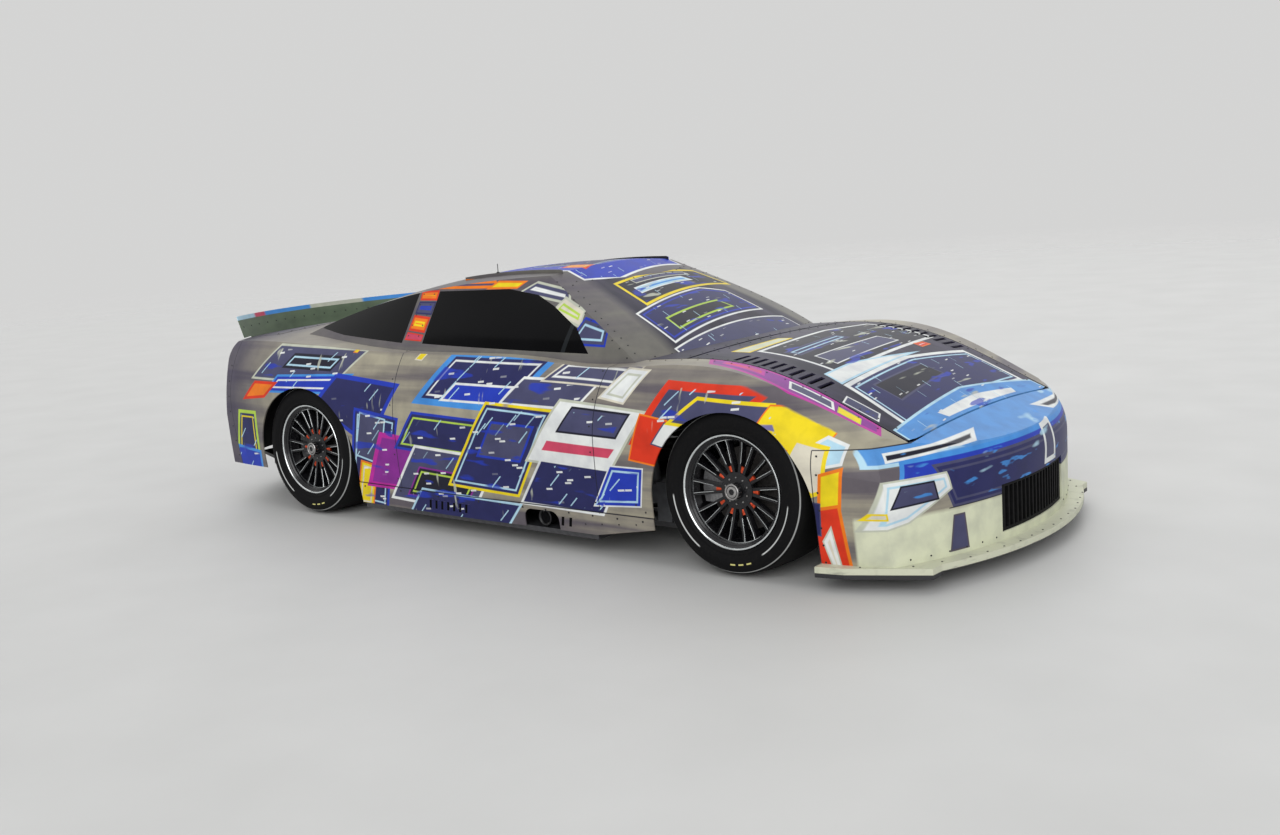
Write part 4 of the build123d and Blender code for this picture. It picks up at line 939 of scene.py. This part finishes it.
# Radius and half width, from the tread's middle over the sidewall to the bead and back inside
tyreShape = {"steps": 144, "street": [
    (0.3550, 0.000), (0.3550, 0.072), (0.3520, 0.115), (0.3490, 0.148), (0.3455, 0.156), (0.3370, 0.168),
    (0.3250, 0.176), (0.3090, 0.181), (0.2930, 0.1815), (0.2800, 0.1785), (0.2700, 0.1745), (0.2640, 0.1725),
    (0.2620, 0.1735), (0.2560, 0.1735), (0.2540, 0.1705), (0.2480, 0.1660), (0.2452, 0.1600),
    (0.2270, 0.1545), (0.2290, 0.1500), (0.3000, 0.1650), (0.3330, 0.1480)]}


def makeTyre(corner, matrix, body):
    street = tyreShape["street"]
    tyre = Shape()
    tyre.lathe(street + [(r, -w) for r, w in reversed(street[1:])], tyreShape["steps"])
    piece = tyre.piece("tyreSkin_" + corner, "tyre", body, "tyre_rubber", True, matrix)
    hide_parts("tyre_" + corner)


# The polished lip, the ring behind it, the bright edges of the spokes, and what sits round the hub.
# Profiles are radius and width along the axle, and the turns between twin spokes are in degrees
wheelTrim = {
    "lip": [(0.2360, 0.1650), (0.2442, 0.1650), (0.2446, 0.1664), (0.2432, 0.1680), (0.2396, 0.1680),
            (0.2370, 0.1664)],
    "ring": [(0.2165, 0.1318), (0.2192, 0.1318), (0.2192, 0.1340), (0.2165, 0.1340)],
    "pairs": 10, "spread": 8, "spokeLine": [(0.118, 0.1212), (0.190, 0.1261), (0.2175, 0.1321)],
    "spokeEdge": 0.0040, "lineWidth": 0.0017, "lineRise": 0.0009, "lineSink": 0.0004,
}
hubTrim = {
    "nut": [(0.0270, 0.1550), (0.0345, 0.1550), (0.0345, 0.1590), (0.0325, 0.1610), (0.0285, 0.1610),
            (0.0270, 0.1590)],
    "nutCup": [(0.0130, 0.1560), (0.0235, 0.1560), (0.0235, 0.1585), (0.0130, 0.1600)],
    "teeth": 12, "toothPlace": (0.0350, 0.147, 0), "toothLength": 0.018,
    "tooth": [(0, -0.003), (0.0022, -0.002), (0.0022, 0.002), (0, 0.003)],
    "studPlace": (0.056, 0.1225, 0), "insertStudPlace": (0.093, 0.119, 0),
    "studRadius": 0.0042, "studHeight": 0.004,
    "insertEnds": [(0.081, 0.0046), (0.106, 0.0080)], "insertBase": 0.108, "insertShoulder": 0.1175,
    "insertCrown": 0.1195,
}


def turnedBy(degrees):
    # A turn about the axle
    return Matrix.Rotation(math.radians(degrees), 4, "Y")


def makeWheelTrim(corner, matrix, body):
    trim = Shape()
    trim.lathe(wheelTrim["lip"], 128)
    trim.lathe(wheelTrim["ring"], 128)
    half, rise, sink = wheelTrim["lineWidth"], wheelTrim["lineRise"], wheelTrim["lineSink"]
    for i in range(wheelTrim["pairs"]):
        for lean in (-1, 1):
            turn = turnedBy(360 / wheelTrim["pairs"] * i + lean * wheelTrim["spread"])
            edge = lean * wheelTrim["spokeEdge"]
            section = ((-half, -sink), (-half / 2, rise), (half / 2, rise), (half, -sink))
            trim.loft([[(r, y + up, edge + out) for out, up in section]
                       for r, y in wheelTrim["spokeLine"]], turn)
    trim.piece("wheelTrim_" + corner, "polished", body, "wheel_black", False, matrix)


def makeHubTrim(corner, matrix, body):
    hub = Shape()
    inserts = Shape()
    hub.lathe(hubTrim["nut"], 48)
    hub.lathe(hubTrim["nutCup"], 32)
    upright = Matrix.Rotation(-math.pi / 2, 4, "X")
    step = 360 / wheelTrim["pairs"]
    half = hubTrim["toothLength"] / 2
    base, shoulder, crown = (hubTrim[key] for key in ("insertBase", "insertShoulder", "insertCrown"))
    for i in range(hubTrim["teeth"]):
        turn = turnedBy(360 / hubTrim["teeth"] * i) @ Matrix.Translation(hubTrim["toothPlace"])
        hub.loft([[(x, y, z) for x, z in hubTrim["tooth"]] for y in (-half, half)], turn)
    for i in range(wheelTrim["pairs"]):
        place = turnedBy(step * (i + 0.5)) @ Matrix.Translation(hubTrim["studPlace"])
        hub.stud(hubTrim["studRadius"], hubTrim["studHeight"], 6, place @ upright)
        turn = turnedBy(step * i)
        section = ((base, -1), (shoulder, -1), (crown, 0), (shoulder, 1), (base, 1))
        inserts.loft([[(r, y, gap * across) for y, across in section]
                      for r, gap in hubTrim["insertEnds"]], turn)
        place = turn @ Matrix.Translation(hubTrim["insertStudPlace"])
        inserts.stud(hubTrim["studRadius"], hubTrim["studHeight"], 6, place @ upright)
    hub.piece("wheelNut_" + corner, "steel", body, "wheel_black", False, matrix)
    inserts.piece("hubInserts_" + corner, "redMetal", body, "wheel_black", False, matrix)


for corner, side in wheelCorners:
    matrix = wheelMatrix(corner, side)
    makeTyre(corner, matrix, "wheel_" + corner)
    makeWheelTrim(corner, matrix, "wheel_" + corner)
    makeHubTrim(corner, matrix, "wheel_" + corner)
print("wheels made")

# Each ray that finds the skin: the axis that it comes along, where it starts, and its direction
fastenerRays = {"down": (2, 2, (0, 0, -1)), "inward": (1, -2, (0, 1, 0)), "rearward": (0, 3, (-1, 0, 0))}
# A head nearer the centre line than middle has no twin on the left
fastenerHead = {"sides": 8, "rise": 0.5, "middle": 0.004}
windshieldEdge = ("windshield", "cabin_shell")
fenders = ("fender_left", "fender_right")
skirts = ("rocker_left", "rocker_right")
# Rows on the right, mirrored to the left: carriers, ray, head radius, pitch, corners on the other two axes
fastenerRows = {
    "chassis": [
        (windshieldEdge, "down", 0.0042, 0.060, [(0.17, -0.520), (0.50, -0.668), (0.775, -0.757)]),
        (windshieldEdge, "down", 0.0042, 0.060, [(0.24, -0.486), (0.53, -0.628), (0.79, -0.718)]),
        (("windshield",), "down", 0.0042, 0.080, [(0.86, -0.66), (1.00, -0.33), (1.045, 0.0)]),
        (("windshield",), "down", 0.0042, 0.080, [(0.225, -0.44), (0.33, -0.20), (0.355, 0.0)]),
        (("cowl",), "down", 0.0040, 0.090, [(1.045, -0.64), (1.050, 0.0)]),
        (fenders, "down", 0.0040, 0.090, [(0.80, -0.735), (1.60, -0.735), (2.02, -0.73)]),
        (("front_fascia",), "inward", 0.0045, 0.070, [(1.873, 0.11), (1.873, 0.55)]),
        (fenders, "inward", 0.0045, 0.080, [(1.00, 0.24), (0.95, 0.27)]),
        (skirts, "inward", 0.0050, 0.150, [(-0.90, 0.196), (0.98, 0.196)]),
        (skirts, "inward", 0.0040, 0.100, [(0.64, 0.150), (0.94, 0.178)]),
        (("door_left", "door_right"), "inward", 0.0040, 0.120, [(0.715, 0.26), (0.715, 0.84)]),
        (("quarter_left", "quarter_right"), "inward", 0.0040, 0.120, [(-0.620, 0.26), (-0.620, 0.90)]),
        (("cabin_shell",), "inward", 0.0040, 0.050, [(-0.672, 0.97), (-0.690, 1.17)]),
        (("cabin_shell",), "inward", 0.0040, 0.050, [(-0.590, 0.97), (-0.605, 1.17)]),
        (("rear_fascia",), "inward", 0.0045, 0.080, [(-2.040, 0.28), (-2.040, 0.80)]),
        (("rear_window", "cabin_shell"), "down", 0.0040, 0.090, [(-1.23, -0.435), (-1.80, -0.525)]),
        (("splitter",), "down", 0.0045, 0.110,
         [(2.02, -0.915), (2.20, -0.815), (2.34, -0.60), (2.42, -0.30), (2.44, 0.0)]),
        (("front_fascia",), "rearward", 0.0040, 0.090, [(-0.80, 0.125), (-0.36, 0.125)]),
    ],
    "hood_lid": [
        (("hood",), "down", 0.0045, 0.075, [(1.12, -0.686), (1.60, -0.686), (2.06, -0.650)]),
        (("hood",), "down", 0.0045, 0.090, [(1.11, -0.60), (1.11, 0.0)]),
    ],
    "deck_lid": [
        (("spoiler",), "rearward", 0.0045, 0.085, [(-0.74, 0.925), (0.0, 0.925)]),
        (("spoiler",), "rearward", 0.0045, 0.085, [(-0.74, 1.000), (0.0, 1.000)]),
        (("decklid",), "down", 0.0045, 0.090, [(-1.925, -0.66), (-1.925, 0.0)]),
    ],
}


def makeFasteners(body):
    heads = Shape()
    for carriers, ray, radius, pitch, line in fastenerRows[body]:
        tree = treeOf(*carriers)
        axis, start, direction = fastenerRays[ray]
        for spot in rowPoints([(*place[:axis], start, *place[axis:]) for place in line], pitch):
            for side in ((1, -1) if abs(spot.y) > fastenerHead["middle"] else (1,)):
                flip = Vector((1, side, 1))
                way = Vector(direction) * flip
                hit, normal = tree.ray_cast(spot * flip, way)[:2]
                if hit is None:
                    continue
                if normal.dot(way) > 0:
                    normal = -normal
                heads.stud(radius, radius * fastenerHead["rise"], fastenerHead["sides"], standOn(hit, normal))
    heads.piece("fasteners_" + body, "darkSteel", body, "steel")


for body in fastenerRows:
    makeFasteners(body)
print("fasteners made")

# Rocker louvres: a row, two more ahead of the outlets, and the small hood that leans over each slot
rockerLouvres = {"first": -0.389, "pitch": 0.0435, "count": 7, "more": [0.500, 0.548],
                 "low": 0.128, "high": 0.172, "slot": 0.024, "hood": 0.010, "rise": 0.0045, "lean": 0.010}


def makeRockerLouvres():
    tree = treeOf("rocker_left", "rocker_right")
    hoods = Shape()
    slotShades = Shape()
    first, pitch, low, high = (rockerLouvres[key] for key in ("first", "pitch", "low", "high"))
    slot, hood, rise, lean = (rockerLouvres[key] for key in ("slot", "hood", "rise", "lean"))
    half = slot / 2
    places = [first + pitch * i for i in range(rockerLouvres["count"])] + rockerLouvres["more"]
    section = ((hood, -0.001), (hood, 0.0005), (0, rise), (-0.004, rise), (-0.002, -0.001))
    outline = ((-half, 0), (half, 0), (half, 1), (-half, 1))

    def onSkin(side, x, t, out):
        spot = Vector((x + lean * t, side * 2, low + (high - low) * t))
        return tree.ray_cast(spot, Vector((0, -side, 0)))[0] + Vector((0, side * out, 0))

    for side in (1, -1):
        for x in places:
            # Each slot is a black sheet on the skin: painted shade for the dark inside of an opening
            slotShades.add([onSkin(side, x + dx, t, 0.0006) for dx, t in outline], [(0, 1, 2, 3)])
            hoods.loft([[onSkin(side, x + half + dx, t, out) for dx, out in section]
                        for t in (-0.06, 0.5, 1.06)])
    hoods.piece("rockerLouvres", "side", "chassis", "body_paint")
    slotShades.piece("rockerSlotShade", "paintedShadeBlack", "chassis", "black_panel")


makeRockerLouvres()

# Tail pipe tips in the rockers' outlets
pipeTips = {"x": 0.370, "z": 0.150, "radius": 0.0335, "wall": 0.003, "from": 0.900, "to": 0.948,
            "lip": 0.003, "boreRadius": 0.030, "boreDepths": (0.004, 0.007)}


def makePipeTips():
    tips = Shape()
    boreShades = Shape()
    place = Matrix.Translation((pipeTips["x"], 0, pipeTips["z"]))
    inner, wall, bore = (pipeTips[key] for key in ("radius", "wall", "boreRadius"))
    for side in (1, -1):
        start, end = side * pipeTips["from"], side * pipeTips["to"]
        lip = end + side * pipeTips["lip"]
        near, far = (end - side * depth for depth in pipeTips["boreDepths"])
        tips.lathe([(inner, start), (inner + wall, start), (inner + wall, end), (inner + 2 * wall, end),
                    (inner + 2 * wall, lip), (inner, lip)], 48, place)
        # A black disc just inside each tip: painted shade for the inside of the pipe
        boreShades.lathe([(0.0, near), (bore, near), (bore, far), (0.0, far)], 32, place)
    tips.piece("pipeTips", "darkSteel", "chassis", "steel", True)
    boreShades.piece("pipeBoreShade", "paintedShadeBlack", "chassis", "black_panel")


makePipeTips()

# Window net: straps laid over the door window's surface on the left.
# flat is the width and length that it is cut from, and cut is the straps' own area, in square metres
netStraps = {"width": 0.024, "thick": 0.0018, "step": 0.02, "flat": (0.27, 1.12), "cut": 0.20,
             "firstColumn": -0.46, "columnPitch": 0.105, "columns": 10, "columnEnds": (0.90, 1.20),
             "rows": [0.955, 1.02, 1.085, 1.15], "rowEnds": (-0.60, 0.58),
             "columnLift": -0.003, "rowLift": -0.001,
             "border": [(-0.540, 0.947), (-0.10, 0.932), (0.535, 0.916), (0.432, 1.004), (0.244, 1.098),
                        (0.106, 1.150), (-0.092, 1.179), (-0.556, 1.173), (-0.540, 0.947)]}


def makeNet():
    tree = treeOf("window_net")
    net = Shape()
    thick = Vector((0, netStraps["thick"], 0))

    def strap(line, lift):
        # Where the surface under a strap ends, the strap ends too
        lengths = [[]]
        spots = rowPoints([(x, 0, z) for x, z in line], netStraps["step"])
        for i, spot in enumerate(spots):
            before, after = spots[max(i - 1, 0)], spots[min(i + 1, len(spots) - 1)]
            way = (after - before).normalized()
            across = Vector((-way.z, 0, way.x)) * (netStraps["width"] / 2)
            hit = tree.ray_cast(Vector((spot.x, 2, spot.z)), Vector((0, -1, 0)))[0]
            if hit is None:
                lengths.append([])
                continue
            middle = hit + Vector((0, lift, 0))
            edges = [middle - across, middle + across]
            lengths[-1].append(edges + [edge + thick for edge in edges[::-1]])
        for rings in lengths:
            if len(rings) > 1:
                net.loft(rings)

    for i in range(netStraps["columns"]):
        x = netStraps["firstColumn"] + netStraps["columnPitch"] * i
        strap([(x, z) for z in netStraps["columnEnds"]], netStraps["columnLift"])
    for z in netStraps["rows"]:
        strap([(x, z) for x in netStraps["rowEnds"]], netStraps["rowLift"])
    strap(netStraps["border"], 0.0)
    piece = net.piece("netStraps", "webbing", "chassis", "net", False)
    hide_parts("window_net")


makeNet()
print("louvres, tips and net made")

# Seat: a moulded shell, whose back and wing are outlines in x and z, and padded cushions
seatShape = {
    "y": 0.330, "half": 0.215, "wall": 0.015, "bevel": 0.004,
    "back": [(-0.480, 0.160), (0.120, 0.160), (0.138, 0.300), (0.104, 0.300), (0.062, 0.236), (-0.250, 0.226),
             (-0.420, 0.900), (-0.480, 0.900)],
    "wing": [(-0.478, 0.162), (0.116, 0.162), (0.122, 0.300), (0.100, 0.372), (-0.060, 0.398),
             (-0.196, 0.424), (-0.250, 0.540), (-0.270, 0.640), (-0.256, 0.720), (-0.300, 0.800),
             (-0.330, 0.858), (-0.478, 0.858)],
    "railEnds": (-0.480, 0.120), "railBase": 0.104, "railHeight": 0.061, "railHalf": 0.010,
}
# Name, centre in x and z, size, lean about Y in degrees, crown
cushions = [
    ("seatCushion", (-0.085, 0.262), (0.36, 0.36, 0.055), 3, 0.020),
    ("backCushion", (-0.345, 0.560), (0.055, 0.36, 0.52), -14, 0.020),
    ("headCushion", (-0.425, 0.850), (0.050, 0.22, 0.13), -10, 0.014),
]
# How the edges pull in between the corners, how full the rim is, and two sewn grooves
padLook = {"steps": 12, "pull": 0.035, "rim": 0.35, "grooveDepth": 0.35, "groovePlace": 0.36,
           "grooveHalf": 0.05}


def makeCushion(name, centre, size, lean, crown):
    steps, pull = padLook["steps"], padLook["pull"]
    cushion = Shape()
    points = []
    faces = []
    thin = size.index(min(size))
    wide = [i for i in range(3) if i != thin]
    for face in (1, -1):
        for i in range(steps + 1):
            for j in range(steps + 1):
                u, v = 2 * i / steps - 1, 2 * j / steps - 1
                drawn = 1 - pull * (1 - u * u) * abs(v) ** 4 - pull * (1 - v * v) * abs(u) ** 4
                rim = (1 - abs(u) ** 5) * (1 - abs(v) ** 5)
                fromGroove = (abs(v) - padLook["groovePlace"]) / padLook["grooveHalf"]
                groove = padLook["grooveDepth"] * math.exp(-fromGroove ** 2) * rim
                fullness = size[thin] / 2 * rim ** padLook["rim"]
                p = [0.0, 0.0, 0.0]
                p[wide[0]] = u * drawn * size[wide[0]] / 2
                p[wide[1]] = v * drawn * size[wide[1]] / 2
                p[thin] = face * (fullness + crown * rim * (1 - groove) - crown * 0.5 * rim)
                points.append(p)
    side = (steps + 1) ** 2
    for face in (0, 1):
        for i in range(steps):
            for j in range(steps):
                a = face * side + i * (steps + 1) + j
                quad = (a, a + 1, a + steps + 2, a + steps + 1)
                faces.append(quad if face else quad[::-1])
    spot = Vector((centre[0], seatShape["y"], centre[1]))
    cushion.add(points, faces, Matrix.Translation(spot) @ Matrix.Rotation(math.radians(lean), 4, "Y"))
    piece = cushion.piece(name, "cloth", "chassis", "seat_fabric", True)
    weld = piece.modifiers.new("weld", "WELD")
    weld.merge_threshold = 0.0005
    soften = piece.modifiers.new("soften", "SUBSURF")
    soften.levels = 1
    soften.render_levels = 1
    return piece


def makeSeat():
    shell = Shape()
    y, half, wall, bevel = (seatShape[key] for key in ("y", "half", "wall", "bevel"))
    low, high = seatShape["railBase"], seatShape["railBase"] + seatShape["railHeight"]
    shell.loft([[(x, y + side * half, z) for x, z in seatShape["back"]] for side in (-1, 1)])
    for side in (1, -1):
        # The wing's outer edge is bevelled towards its middle
        layers = [(half, 0), (half + wall * 0.8, 0), (half + wall, bevel)]
        shell.loft([[(x + (inset if x < 0 else -inset), y + side * out, z) for x, z in seatShape["wing"]]
                    for out, inset in layers])
        inner, outer = (y + side * half + edge * seatShape["railHalf"] for edge in (-1, 1))
        shell.loft([[(x, inner, low), (x, outer, low), (x, outer, high), (x, inner, high)]
                    for x in seatShape["railEnds"]])
    piece = shell.piece("seatShell", "carbon", "chassis", "seat_fabric")
    pads = [makeCushion(*row) for row in cushions]
    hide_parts("seat")
    for pad in pads:
        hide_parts("seat")


makeSeat()
print("seat made")

# A short whip on the roof, as radius and height up its foot and its mast
whip = {"spot": (-0.320, -0.430), "sides": 10,
        "profile": [(0.008, -0.001), (0.008, 0.003), (0.002, 0.006), (0.002, 0.045), (0.0012, 0.046)]}


def makeWhip():
    hit = treeOf("cabin_shell").ray_cast(Vector((*whip["spot"], 3)), Vector((0, 0, -1)))[0]
    turns = [2 * math.pi * i / whip["sides"] for i in range(whip["sides"])]
    mast = Shape()
    mast.loft([[hit + Vector((r * math.cos(turn), r * math.sin(turn), z)) for turn in turns]
               for r, z in whip["profile"]])
    mast.piece("roofWhip", "blackPlastic", "chassis", "black_panel", False)


makeWhip()
print("roof whip made")
